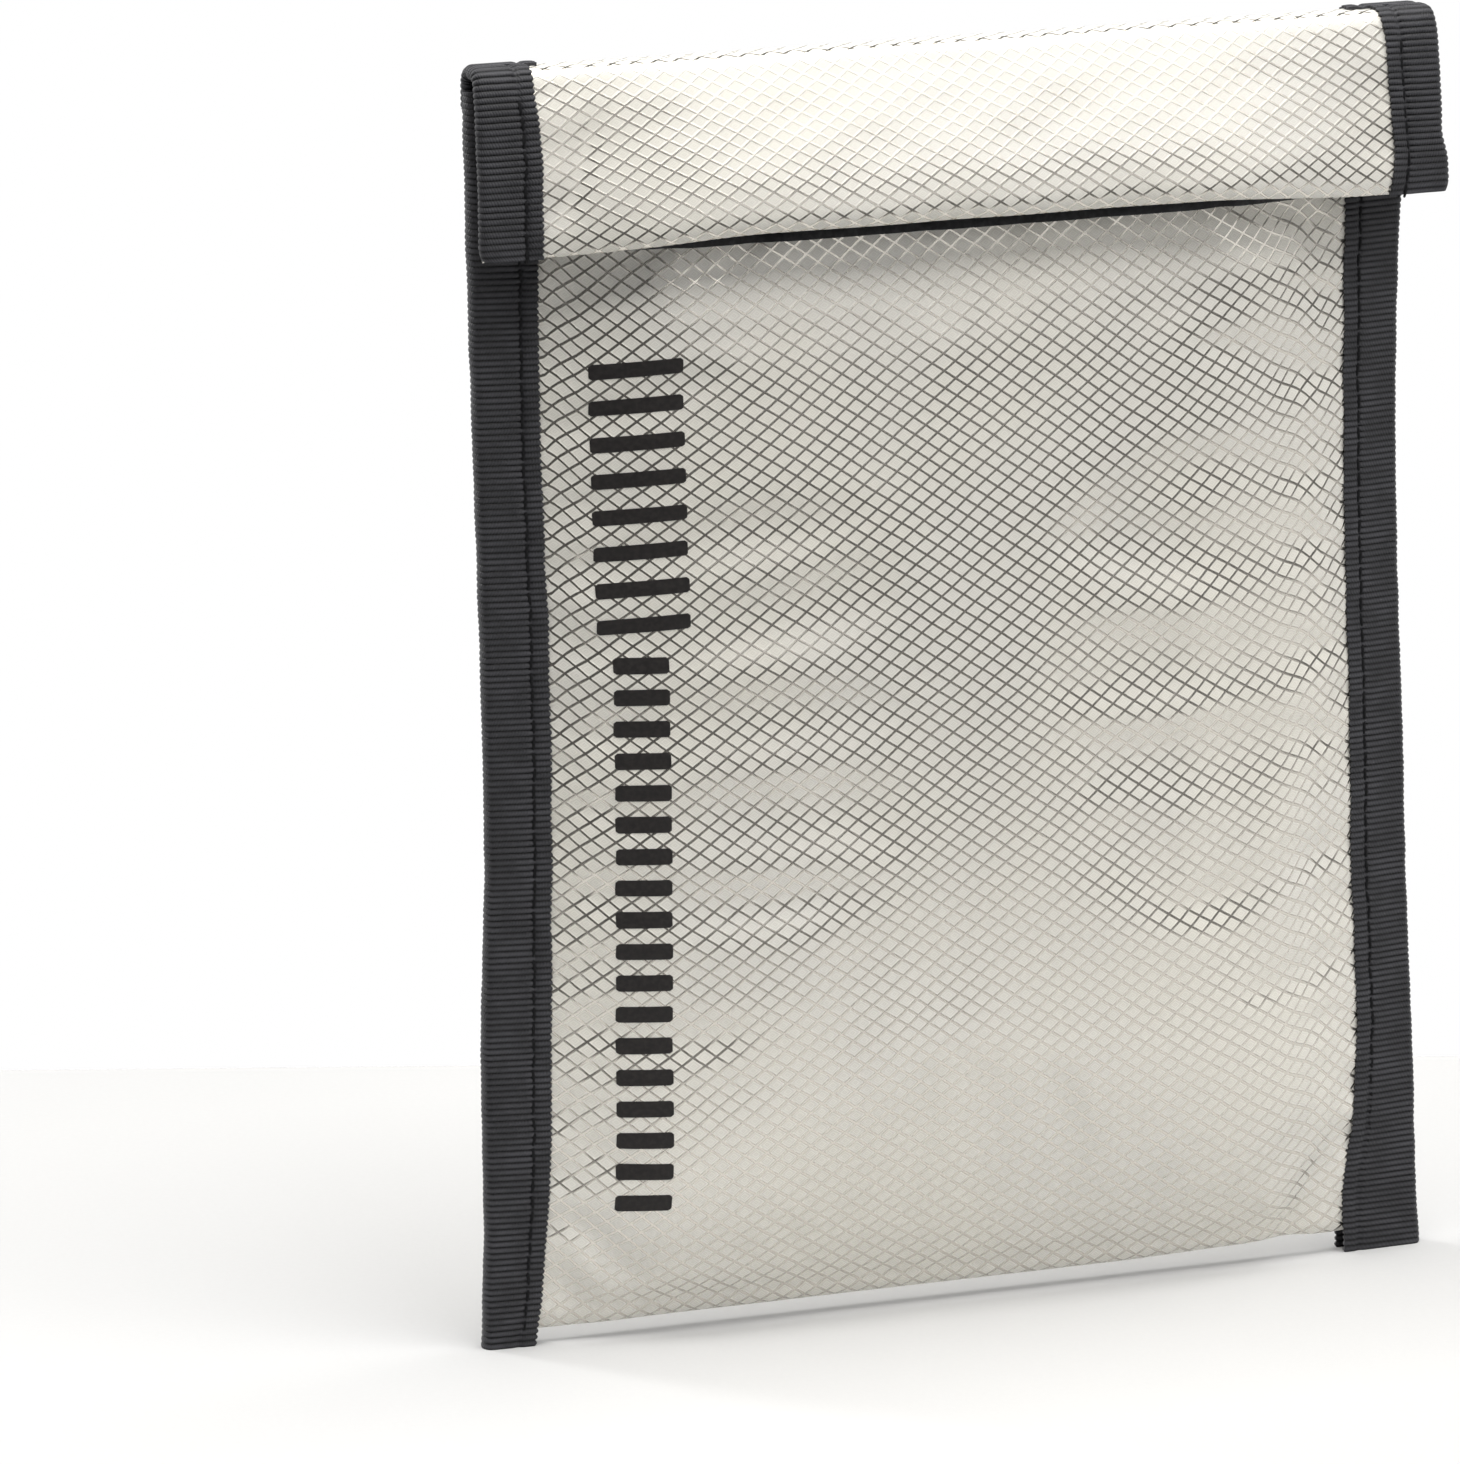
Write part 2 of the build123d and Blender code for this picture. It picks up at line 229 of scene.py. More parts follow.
def front_depth(u, z):
    """Depth of the front's outer face."""
    low = 34 - 17 * step(-10, -72, u) - 5 * step(20, 70, u)  # where the lower slope begins
    lift = (34 - low) * np.sin(math.pi * np.clip((z - 5) / 52, 0, 1))
    full = profile(np.clip(z + lift, PROFILE[0][0], PROFILE[-1][0]))
    edge = seam_depth(u, z)
    return edge + (full - edge) * fullness(u)


# ---------------------------------------------------------------- meshes
def make_piece(name, points, faces, uv, material, slot, sharp=True):
    """A mesh piece from points in mm, with sharp or rounded rims.

    uv is in mm too, and tells the materials where they are on the cloth.
    """
    mesh = bpy.data.meshes.new(name)
    mesh.from_pydata((np.asarray(points) * MM).tolist(), [], [list(map(int, face)) for face in faces])
    corners = np.empty(len(mesh.loops), np.int32)
    mesh.loops.foreach_get("vertex_index", corners)
    layer = mesh.uv_layers.new(name="cloth")
    layer.data.foreach_set("uv", np.asarray(uv, np.float32)[corners].ravel())
    mesh.polygons.foreach_set("use_smooth", np.ones(len(mesh.polygons), bool))
    if sharp:
        mesh.set_sharp_from_angle(angle=math.radians(55))
    mesh.validate()
    obj = bpy.data.objects.new(name, mesh)
    bpy.context.collection.objects.link(obj)
    mesh.materials.append(material)
    return obj


def quads(rows, cols, start=0, closed=False):
    """Faces of a grid of points."""
    index = start + np.arange(rows * cols).reshape(rows, cols)
    if closed:
        index = np.concatenate([index, index[:, :1]], 1)
    a, b, c, d = index[:-1, :-1], index[1:, :-1], index[1:, 1:], index[:-1, 1:]
    return np.stack([a, b, c, d], -1).reshape(-1, 4)


def normals(grid):
    """Unit normals of a grid of points, on the side that rows x columns turn to."""
    cross = np.cross(np.gradient(grid, axis=0), np.gradient(grid, axis=1))
    return cross / np.maximum(np.linalg.norm(cross, axis=-1, keepdims=True), 1e-9)


def shell(outer, inner, uv):
    """A closed solid between two grids of points: its points, faces and uv."""
    rows, cols = outer.shape[:2]
    count = rows * cols
    top = quads(rows, cols)
    under = quads(rows, cols, count)[:, ::-1]
    index = np.arange(count).reshape(rows, cols)
    rim = np.concatenate([index[:, 0], index[-1, 1:], index[-2::-1, -1], index[0, -2::-1]])
    walls = np.stack([rim[1:], rim[:-1], rim[:-1] + count, rim[1:] + count], -1)
    points = np.concatenate([outer.reshape(-1, 3), inner.reshape(-1, 3)])
    faces = np.concatenate([top, under, walls])
    if ((outer - inner) * normals(outer)).sum() < 0:
        faces = faces[:, ::-1]
    return points, faces, np.concatenate([uv.reshape(-1, 2)] * 2)


def layer(name, grid, out, uv, inset_a, inset_b, material, slot):
    """A layer of cloth between two insets from a surface, out being the surface's outward normals."""
    parts = shell(grid - out * inset_a, grid - out * inset_b, uv)
    return make_piece(name, *parts, material, slot)


def joined(parts):
    """Points, faces and uv of several (points, faces, uv) in one."""
    points, faces, uvs, start = [], [], [], 0
    for part_points, part_faces, part_uv in parts:
        points.append(part_points)
        faces.append(np.asarray(part_faces) + start)
        uvs.append(part_uv)
        start += len(part_points)
    return np.concatenate(points), np.concatenate(faces), np.concatenate(uvs)


# ---------------------------------------------------------------- materials
def feed(tree, value, socket):
    if isinstance(value, bpy.types.NodeSocket):
        tree.links.new(value, socket)
    else:
        socket.default_value = value


def add_node(tree, kind, *inputs, **settings):
    """A new node; each of its inputs is a value or another node's output."""
    made = tree.nodes.new("ShaderNode" + kind)
    for key, value in settings.items():
        setattr(made, key, value)
    for value, socket in zip(inputs, made.inputs):
        feed(tree, value, socket)
    return made


class Shade:
    """A material's node tree, with short ways to add nodes to it."""

    def __init__(self, name, **sockets):
        self.material = bpy.data.materials.new(name)
        self.material.use_nodes = True
        self.tree = self.material.node_tree
        self.shader = self.tree.nodes["Principled BSDF"]
        for socket, value in sockets.items():
            self.shader.inputs[socket.replace("_", " ")].default_value = value

    def node(self, kind, *inputs, **settings):
        return add_node(self.tree, kind, *inputs, **settings)

    def feed(self, value, socket):
        feed(self.tree, value, socket)

    def math(self, operation, *inputs):
        return self.node("Math", *inputs, operation=operation).outputs[0]

    def uv(self):
        """The two cloth coordinates, in mm."""
        split = self.node("SeparateXYZ", self.node("UVMap", uv_map="cloth").outputs[0])
        return split.outputs[0], split.outputs[1]

    def place(self):
        """Position in the object, in metres."""
        return self.node("TexCoord").outputs["Object"]

    def noise(self, where, scale, detail=3.0):
        made = self.node("TexNoise")
        self.feed(where, made.inputs["Vector"])
        made.inputs["Scale"].default_value = scale
        made.inputs["Detail"].default_value = detail
        return made.outputs[0]

    def between(self, value, low, high, to_low=0.0, to_high=1.0):
        """A smooth rise of value from low to high."""
        made = self.node("MapRange", value, low, high, to_low, to_high, interpolation_type="SMOOTHSTEP")
        return made.outputs[0]

    def colour(self, factor, a, b):
        """Mix of two colours."""
        made = self.node("Mix", data_type="RGBA")
        self.feed(factor, made.inputs[0])
        self.feed(a if isinstance(a, bpy.types.NodeSocket) else (*a, 1), made.inputs[6])
        self.feed(b if isinstance(b, bpy.types.NodeSocket) else (*b, 1), made.inputs[7])
        return made.outputs[2]

    def bump(self, height, distance, before=None):
        made = self.node("Bump")
        made.inputs["Distance"].default_value = distance
        self.feed(height, made.inputs["Height"])
        if before is not None:
            self.feed(before, made.inputs["Normal"])
        return made.outputs[0]

    def set(self, **sockets):
        for socket, value in sockets.items():
            self.feed(value, self.shader.inputs[socket.replace("_", " ")])
        return self.material


DIAMOND_W, DIAMOND_H = 4.17, 3.08
TURNED, SKEWED = 0.023, 0.059  # how far the weave's rows and columns stray from the cloth's, per mm
YARN_APART = 1 / math.hypot(1 / DIAMOND_W, 1 / DIAMOND_H)


def weave_of(s, u, v, reach):
    """Crossing waves of plain weave."""
    across, along = (s.math("SINE", s.math("MULTIPLY", value, reach)) for value in (u, v))
    return s.math("MULTIPLY", across, along)


def off_line(s, across):
    """Distance from the nearest whole number, and from the nearest half."""
    middle = s.math("ABSOLUTE", s.math("SUBTRACT", s.math("FRACT", across), 0.5))
    return s.math("SUBTRACT", 0.5, middle), middle


def ripstop(name, ground, ground_cool, yarn, yarn_metal, yarn_rough):
    """Coated cloth with a diamond lattice of glossier yarns over a fine weave."""
    s = Shade(name, Specular_IOR_Level=0.3, Sheen_Weight=0.1, Sheen_Roughness=0.45)
    flat_u, flat_v = s.uv()
    u = s.math("ADD", flat_u, s.math("MULTIPLY", flat_v, SKEWED))
    v = s.math("SUBTRACT", flat_v, s.math("MULTIPLY", flat_u, TURNED))
    where = s.node("CombineXYZ", u, v, 0.0).outputs[0]
    drift = s.math("MULTIPLY", s.math("SUBTRACT", s.noise(where, 0.05, 2.0), 0.5), 0.35)
    along_u = s.math("ADD", s.math("DIVIDE", u, DIAMOND_W), drift)
    along_v = s.math("DIVIDE", v, DIAMOND_H)
    off_a, mid_a = off_line(s, s.math("ADD", along_u, along_v))
    off_b, mid_b = off_line(s, s.math("SUBTRACT", along_u, along_v))
    near = s.math("MULTIPLY", s.math("MINIMUM", off_a, off_b), YARN_APART)
    uneven = s.noise(where, 1.6, 2.0)
    width = s.math("ADD", 0.21, s.math("MULTIPLY", uneven, 0.08))
    line = s.between(near, s.math("SUBTRACT", width, 0.07), s.math("ADD", width, 0.05), 1.0, 0.0)
    rings = s.math("COSINE", s.math("MULTIPLY", s.math("MAXIMUM", mid_a, mid_b), 2 * math.pi * 6))
    weave = weave_of(s, u, v, 2 * math.pi / 0.42)
    fine = s.math("ADD", s.math("MULTIPLY", rings, 0.5), s.math("MULTIPLY", weave, 0.5))
    patches = s.between(s.noise(where, 0.022, 3.0), 0.35, 0.65)
    cell = s.colour(patches, ground, ground_cool)
    shade = s.between(fine, -1.0, 1.0, 0.0, 1.0)
    cell = s.colour(s.math("MULTIPLY", s.math("SUBTRACT", 1.0, shade), 0.3), cell, (0.33, 0.31, 0.27))
    speck = s.between(s.noise(where, 3.2, 2.0), 0.62, 0.78)
    cell = s.colour(s.math("MULTIPLY", speck, 0.25), cell, (0.95, 0.94, 0.9))
    raised = s.math("ADD", s.math("MULTIPLY", line, 0.8), s.math("MULTIPLY", shade, 0.12))
    return s.set(
        Base_Color=s.colour(line, cell, yarn),
        Metallic=s.math("MULTIPLY", line, yarn_metal),
        Roughness=s.between(line, 0.0, 1.0, 0.62, yarn_rough),
        Normal=s.bump(raised, 0.00007),
    )


def woven(name, colour, other, pitch, rough, bump, **sockets):
    """Plain woven or felted cloth."""
    s = Shade(name, **sockets)
    u, v = s.uv()
    where = s.node("CombineXYZ", u, v, 0.0).outputs[0]
    weave = weave_of(s, u, v, math.pi / pitch)
    fuzz = s.noise(where, 1.4, 5.0)
    patches = s.between(s.noise(where, 0.03, 3.0), 0.3, 0.7)
    tone = s.colour(s.between(weave, -1.0, 1.0, 0.0, 0.5), colour, other)
    tone = s.colour(s.math("MULTIPLY", patches, 0.25), tone, other)
    height = s.math("ADD", s.math("MULTIPLY", weave, 0.5), fuzz)
    uneven = s.between(fuzz, 0.3, 0.7, rough, rough + 0.12)
    return s.set(Base_Color=tone, Roughness=uneven, Normal=s.bump(height, bump))


def grosgrain(name, gap, rib, wear_and_highlight):
    """Ribbed black tape with a twisted weft: painted highlight lightens the rib tops and painted shade darkens
    the gaps, patches of wear lighten the tops further, and pale fibres dust them.
    """
    s = Shade(name, Specular_IOR_Level=0.28, Sheen_Weight=0.12, Sheen_Roughness=0.35)
    u, v = s.uv()
    where = s.node("CombineXYZ", u, v, 0.0).outputs[0]
    turn = s.math("MULTIPLY", v, math.pi / RIB)
    # Rib-top mask: it places the painted highlight on the tops and the painted shade in the gaps.
    top = s.math("POWER", s.math("ABSOLUTE", s.math("SINE", turn)), 1.5)
    turned = s.math("ADD", s.math("MULTIPLY", u, 2 * math.pi / 0.55), s.math("MULTIPLY", v, 5.0))
    twist = s.math("SINE", turned)
    patches = s.between(s.noise(where, 0.16, 4.0), 0.35, 0.7)
    # Painted shade in the gaps and painted highlight on the rib tops.
    tone = s.colour(top, gap, rib)
    # Wear in patches, kept to the rib tops, where it also paints highlight.
    tone = s.colour(s.math("MULTIPLY", s.math("MULTIPLY", patches, top), 0.55), tone, wear_and_highlight)
    # Pale fibre specks, kept to the rib tops, where they add to the painted highlight.
    speck = s.between(s.noise(where, 2.6, 3.0), 0.66, 0.8)
    tone = s.colour(s.math("MULTIPLY", s.math("MULTIPLY", speck, top), 0.5), tone, (0.2, 0.2, 0.21))
    height = s.math("ADD", s.math("MULTIPLY", twist, 0.35), s.noise(where, 3.0, 3.0))
    rough = s.between(patches, 0.0, 1.0, 0.5, 0.68)
    return s.set(Base_Color=tone, Roughness=rough, Normal=s.bump(height, 0.00006))


def thread_material():
    s = Shade("stitch_thread", Specular_IOR_Level=0.25)
    u, v = s.uv()
    twist = s.math("SINE", s.math("ADD", s.math("MULTIPLY", u, 9.0), s.math("MULTIPLY", v, 14.0)))
    tone = s.colour(s.between(twist, -1.0, 1.0), (0.003, 0.003, 0.004), (0.012, 0.012, 0.014))
    rough = s.between(twist, -1.0, 1.0, 0.5, 0.62)
    return s.set(Base_Color=tone, Roughness=rough, Normal=s.bump(twist, 0.00005))


def pile_material(name, dark, pale, rough, scale):
    s = Shade(name, Specular_IOR_Level=0.3, Sheen_Weight=0.4, Sheen_Roughness=0.5)
    grain = s.noise(s.place(), scale, 4.0)
    tone = s.colour(s.between(grain, 0.35, 0.7), dark, pale)
    uneven = s.between(grain, 0.3, 0.7, rough, rough + 0.15)
    return s.set(Base_Color=tone, Roughness=uneven, Normal=s.bump(grain, 0.0002))


def ink_material():
    s = Shade("print_ink", Specular_IOR_Level=0.3)
    u, v = s.uv()
    where = s.node("CombineXYZ", u, v, 0.0).outputs[0]
    grain = s.noise(where, 1.1, 4.0)
    tone = s.colour(s.between(grain, 0.35, 0.7), (0.014, 0.012, 0.012), (0.026, 0.023, 0.022))
    rough = s.between(grain, 0.3, 0.7, 0.55, 0.7)
    return s.set(Base_Color=tone, Roughness=rough, Normal=s.bump(grain, 0.00003))


RIPSTOP = ripstop("ripstop_cloth", (0.845, 0.82, 0.745), (0.815, 0.795, 0.74), (0.64, 0.61, 0.55), 0.95, 0.24)
FELT = woven("felted_core", (0.8, 0.77, 0.68), (0.66, 0.63, 0.55), 0.9, 0.85, 0.0003)
LINING_CLOTH = woven(
    "lining_cloth", (0.5, 0.5, 0.49), (0.34, 0.34, 0.335), 0.35, 0.5, 0.00012, Sheen_Weight=0.15
)
# The gap and rib colours give painted shade in the gaps and painted highlight on the rib tops; the third
# colour is wear together with painted highlight.
GROSGRAIN = grosgrain("grosgrain_tape", (0.003, 0.003, 0.004), (0.04, 0.04, 0.045), (0.085, 0.085, 0.095))
THREAD = thread_material()
LOOP = pile_material("loop_pile", (0.006, 0.006, 0.007), (0.025, 0.025, 0.028), 0.75, 900)
HOOK = pile_material("hook_tape", (0.008, 0.008, 0.009), (0.02, 0.02, 0.022), 0.4, 700)
INK = ink_material()


# ---------------------------------------------------------------- the cloth of the front, bottom and back
TURN_TOP = 7.0  # the bottom fold runs below this height
columns = np.concatenate([
    np.linspace(-HALF, -BIND_X, 10)[:-1],
    np.linspace(-BIND_X, BIND_X, 151),
    np.linspace(BIND_X, HALF, 10)[1:],
])
front_z = np.linspace(TURN_TOP, LIP_Z, 181)


def back_depth(u, z):
    """Depth of the back's outer face, which isn't quite flat."""
    inside = BIND_X - np.abs(u)
    loose = step(0, 25, inside) * step(8, 30, z) * step(TOP_Z - 3, TOP_Z - 30, z)
    pucker = 0.2 * np.sin(z / 2.1 + 2 * waves(z, 0 * z, 18, 40)) * np.exp(-np.clip(inside, 0, None) / 4)
    pucker = pucker * step(-1, 1, inside)
    return (0.45 + 0.5 * waves(u, z * 0.6, 21, 60)) * loose + pucker * step(TOP_Z, TOP_Z - 12, z)


def at(u, depth, z, along, lines=body_lines):
    """Points on the cloth, given as grids of u, depth and height."""
    return np.stack([spread(u, along, lines), BACK_Y - depth, z + 0 * u], -1)


def lengths(grid, axis, zero):
    """Distance along the grid's rows or columns, from the one numbered zero."""
    steps = np.linalg.norm(np.diff(grid, axis=axis), axis=-1)
    total = np.cumsum(steps, axis)
    total = np.concatenate([np.zeros_like(np.take(total, [0], axis)), total], axis)
    return total - np.take(total, [zero], axis)


def cloth_uv(grid, v_start, sign=1):
    """Cloth coordinates of a grid whose rows run along the cloth from v_start."""
    across = lengths(grid, 1, grid.shape[1] // 2)
    return np.stack([across, v_start + sign * lengths(grid, 0, 0)], -1)


SIM_SCALE = 10 * MM  # the solver suits bigger things, so a wall is simulated ten times as large as it is
SIM_FRAMES = 24
SIM_SLACK = 0.012
SIM_PRESSURE = 0.8
SMOOTHINGS = 70  # they turn what the cloth moved into an even swelling
UNEVEN = 0.9  # the most that is kept of what differs from it, in mm


def settled(z_low, z_high, wall_depth, forward):
    """Unevenness that a simulation gives a wall's cloth: a function of u and height that returns extra depth.

    The wall is held round its edges, has a little slack, and is puffed from inside.
    """
    us, zs = np.linspace(-BIND_X, BIND_X, 73), np.linspace(z_low, z_high, 93)
    u, z = np.meshgrid(us, zs)
    start = at(u, wall_depth(u, z), z, z)
    faces = quads(*u.shape)[:, ::-1] if forward else quads(*u.shape)
    mesh = bpy.data.meshes.new("settling")
    mesh.from_pydata((start.reshape(-1, 3) * SIM_SCALE).tolist(), [], faces.tolist())
    obj = bpy.data.objects.new("settling", mesh)
    bpy.context.collection.objects.link(obj)
    held = np.ones(u.shape, bool)
    held[1:-1, 1:-1] = False
    obj.vertex_groups.new(name="held").add(np.flatnonzero(held).tolist(), 1.0, "REPLACE")
    cloth = obj.modifiers.new("settling", "CLOTH").settings
    cloth.quality = 6
    cloth.mass = 0.3
    cloth.tension_stiffness = cloth.compression_stiffness = 25
    cloth.shear_stiffness = 12
    cloth.bending_stiffness = 1.2
    cloth.shrink_min = -SIM_SLACK
    cloth.vertex_group_mass = "held"
    cloth.use_pressure = True
    cloth.uniform_pressure_force = SIM_PRESSURE
    cloth.effector_weights.gravity = 0
    for number in range(1, SIM_FRAMES + 1):
        bpy.context.scene.frame_set(number)
    shape = obj.evaluated_get(bpy.context.evaluated_depsgraph_get()).data
    points = np.empty(u.size * 3)
    shape.vertices.foreach_get("co", points)
    moved = start[..., 1] - points.reshape(start.shape)[..., 1] / SIM_SCALE
    bpy.data.objects.remove(obj)
    bpy.data.meshes.remove(mesh)
    bpy.context.scene.frame_set(1)
    even = moved
    for _ in range(SMOOTHINGS):
        ring = np.pad(even, 1, mode="edge")
        even = (ring[2:, 1:-1] + ring[:-2, 1:-1] + ring[1:-1, 2:] + ring[1:-1, :-2]) / 4
    uneven = UNEVEN * np.tanh((moved - even) / UNEVEN)

    def extra(u, z):
        col = np.clip(np.interp(u, us, np.arange(len(us))), 0, len(us) - 1.001)
        row = np.clip(np.interp(z, zs, np.arange(len(zs))), 0, len(zs) - 1.001)
        c, r = col.astype(int), row.astype(int)
        fc, fr = col - c, row - r
        low = uneven[r, c] * (1 - fc) + uneven[r, c + 1] * fc
        high = uneven[r + 1, c] * (1 - fc) + uneven[r + 1, c + 1] * fc
        inside = np.minimum(BIND_X - np.abs(u), np.minimum(z - z_low, z_high - z))
        return (low * (1 - fr) + high * fr) * step(0, 7, inside)

    return extra


def wall_front():
    """The outer face from low on the back, round the bottom fold and up to the lip."""
    u, z = np.meshgrid(columns, front_z)
    depth = front_depth(u, z) + dents(u, z) + settled(TURN_TOP, LIP_Z - 12, front_depth, True)(u, z)
    front = at(u, depth, z, z)
    turns = np.linspace(0, math.pi, 15)[1:-1]
    uu, turn = np.meshgrid(columns, turns)
    low = cloth_bottom(uu)
    fold_depth = depth[:1] / 2 * (1 - np.cos(turn))
    fold_z = low + (TURN_TOP - low) * (1 - np.sin(turn))
    fold = at(uu, fold_depth, fold_z, fold_z)
    ub, zb = np.meshgrid(columns, np.linspace(SPLIT_Z, TURN_TOP, 7))
    rear = at(ub, back_depth(ub, zb) * step(TURN_TOP, SPLIT_Z, zb), zb, zb)
    return np.concatenate([rear, fold, front]), len(rear) + len(fold)


def wall_back():
    """The outer face from low on the back up to the middle of the strip on top."""
    u, z = np.meshgrid(columns, np.linspace(SPLIT_Z, TOP_Z, 161))
    depth = back_depth(u, z) + settled(SPLIT_Z, TOP_Z - 6, back_depth, False)(u, z)
    rear = at(u, np.maximum(depth, -0.6), z, z)
    uc, turn = np.meshgrid(columns, np.linspace(0, math.pi / 2, 13)[1:])
    crease_z = TOP_Z + FOLD_R * np.sin(turn)
    crease = at(uc, FOLD_R * (1 - np.cos(turn)), crease_z, TOP_Z + 0 * uc)
    us, depth = np.meshgrid(columns, np.linspace(FOLD_R, MID_TOP_D, 4)[1:])
    strip = at(us, depth, TOP_Z + FOLD_R + 0 * us, TOP_Z + 0 * us)
    return np.concatenate([rear, crease, strip])


front_grid, first_front_row = wall_front()
back_grid = wall_back()
back_out = normals(back_grid)
front_out = -normals(front_grid)
BACK_LENGTH = float(lengths(back_grid, 0, 0)[-1].mean())
front_uv = cloth_uv(front_grid, BACK_LENGTH)
back_uv = cloth_uv(back_grid, BACK_LENGTH, -1)


def sample(grid, u, row):
    """Values of a grid at the cloth's u, and at a row which may be between two rows."""
    col = np.interp(u, columns, np.arange(len(columns)))
    row = np.broadcast_to(row, np.shape(col))
    c, r = np.minimum(col.astype(int), len(columns) - 2), np.minimum(row.astype(int), len(grid) - 2)
    fc, fr = (col - c)[..., None], (row - r)[..., None]
    low = grid[r, c] * (1 - fc) + grid[r, c + 1] * fc
    high = grid[r + 1, c] * (1 - fc) + grid[r + 1, c + 1] * fc
    return low * (1 - fr) + high * fr


def on_front(u, z):
    """Points and outward normals of the front's outer face at u and at a height."""
    row = first_front_row + np.interp(z, front_z, np.arange(len(front_z)))
    u, row = np.broadcast_arrays(u, row)
    out = sample(front_out, u, row)
    return sample(front_grid, u, row), out / np.linalg.norm(out, axis=-1, keepdims=True)


POUCH_LAYERS = [
    ("outer_cloth", 0, OUTER, RIPSTOP, "outer_cloth"),
    ("core_layer", OUTER, OUTER + CORE, FELT, "core"),
    ("inner_lining", OUTER + CORE, WALL, LINING_CLOTH, "lining"),
]


def blended(obj):
    """Bakes a piece's transform into its mesh."""
    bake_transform(obj)
    return obj


# What each sheet measures when cut, along the cloth. All are as wide as the pouch between its tapes' folds.
FRONT_FLAT = (LIP_Z - CLOTH_BOTTOM) + (SPLIT_Z - CLOTH_BOTTOM) + 4  # with 4 mm for the bulge
BACK_FLAT = (TOP_Z - SPLIT_Z) + math.pi / 2 * FOLD_R + (MID_TOP_D - FOLD_R)
FLAP_FLAT = FLAP_LENGTH + math.pi / 2 * WALL + HEM
FLAP_INSIDE_FLAT = FLAP_LENGTH - HEM
sheets = []
for name, inset_a, inset_b, material, slot in POUCH_LAYERS:
    front = layer(f"front_{name}", front_grid, front_out, front_uv, inset_a, inset_b, material, slot)
    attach(front, "pouch")
    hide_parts(name)
    rear = layer(f"back_{name}", back_grid, back_out, back_uv, inset_a, inset_b, material, slot)
    blended(rear)
    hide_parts(name, "back_crease_cloth", f"top_{name}")
    sheets += [(front, FRONT_FLAT), (rear, BACK_FLAT)]

# ---------------------------------------------------------------- flap
FLAP_WEAVE = 1.13  # the weave is this much closer along the flap
flap_steps = np.linspace(0, FLAP_LENGTH, 91)


def flap_surface():
    """Outer face of the flap, from the middle of the strip on top to its lower fold."""
    u, along = np.meshgrid(columns, flap_steps)
    end = step(38, 88, np.abs(u))
    slope = np.radians(curve(FLAP_BENDS)(along) * (1 - end) + curve(FLAP_END_BENDS)(along) * end)
    middle = (slope[1:] + slope[:-1]) / 2
    gap = np.diff(along, axis=0)
    start = np.zeros_like(u[:1])
    depth = MID_TOP_D + np.concatenate([start, np.cumsum(gap * np.cos(middle), 0)])
    z = TOP_Z + FOLD_R - np.concatenate([start, np.cumsum(gap * np.sin(middle), 0)])
    soft = 0.22 * waves(u * 1.2, along * 2, 31, 48)
    crease = 0.5 * np.exp(-(((u + 71 + 0.35 * (along - 22)) / 2.2) ** 2))
    crease = crease * step(8, 16, along) * step(33, 26, along)
    inside = BIND_X - np.abs(u)
    pucker = 0.2 * np.sin(along / 1.6) * np.exp(-np.clip(inside, 0, None) / 3.5) * step(-1, 1, inside)
    edge = 0.25 * np.sin(u / 5.2 + 1.5 * waves(u, 0 * u, 33, 50)) * step(FLAP_LENGTH - 10, FLAP_LENGTH, along)
    depth = depth + (soft + pucker - crease + edge) * step(3, 9, along)
    return at(u, depth, z, along, flap_lines)


flap_grid = flap_surface()
flap_out = normals(flap_grid)
flap_uv = cloth_uv(flap_grid, 0, -FLAP_WEAVE)
HEM_R = WALL / 2


def flap_hem():
    """The outer face again, with the fold at its lower edge and the hem turned up inside."""
    edge, out = flap_grid[-1], flap_out[-1]
    down = flap_grid[-1] - flap_grid[-2]
    down /= np.linalg.norm(down, axis=-1, keepdims=True)
    centre = edge - out * HEM_R
    turns = np.linspace(0, math.pi, 9)[1:]
    fold = [centre + HEM_R * (out * math.cos(turn) + down * math.sin(turn)) for turn in turns]
    kept = flap_steps > FLAP_LENGTH - HEM
    inside = (flap_grid - flap_out * WALL)[kept][-2::-1]
    grid = np.concatenate([flap_grid, fold, inside])
    outward = np.concatenate([flap_out, [(p - centre) / HEM_R for p in fold], -flap_out[kept][-2::-1]])
    return grid, outward


hem_grid, hem_out = flap_hem()
hem_uv = cloth_uv(hem_grid, 0, -FLAP_WEAVE)
short = flap_steps <= FLAP_LENGTH - HEM + 0.2
hem_parts = hem_grid, hem_out, hem_uv
short_parts = flap_grid[short], flap_out[short], flap_uv[short]
flap_pieces = [
    ("outer_cloth", *hem_parts, 0, OUTER, RIPSTOP, "outer_cloth"),
    ("core_layer", *short_parts, OUTER, OUTER + CORE, FELT, "core"),
    ("inner_lining", *short_parts, OUTER + CORE, WALL, LINING_CLOTH, "lining"),
]
for name, grid, out, uv, inset_a, inset_b, material, slot in flap_pieces:
    piece = layer(f"folded_flap_{name}", grid, out, uv, inset_a, inset_b, material, slot)
    blended(piece)
    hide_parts(f"flap_{name}", f"top_{name}", "front_crease_cloth")
    sheets.append((piece, FLAP_FLAT if name == "outer_cloth" else FLAP_INSIDE_FLAT))


# ---------------------------------------------------------------- tapes folded over the side edges
# Distances from a tape's inner edge across its flat part, and angles round its fold.
LEG = np.array([0, 0.2, 0.7, 1.4, 2.0, 2.4, 2.7, 3.0, 3.3, 3.6, 4.2, 5.5, 7.0, 8.5, 9.8])
ARC = np.linspace(0, math.pi, 11)[1:-1]
TURN_X = 1.5  # how far the tape's fold reaches past its flat part


def rib_height(v, seed):
    """Height of the tape's ribs along its length."""
    uneven = 1 + 0.35 * waves(v, 0 * v, seed, 7, 2)
    return RIB_HEIGHT * uneven * (np.abs(np.sin(math.pi * v / RIB)) ** 0.7 - 0.5)


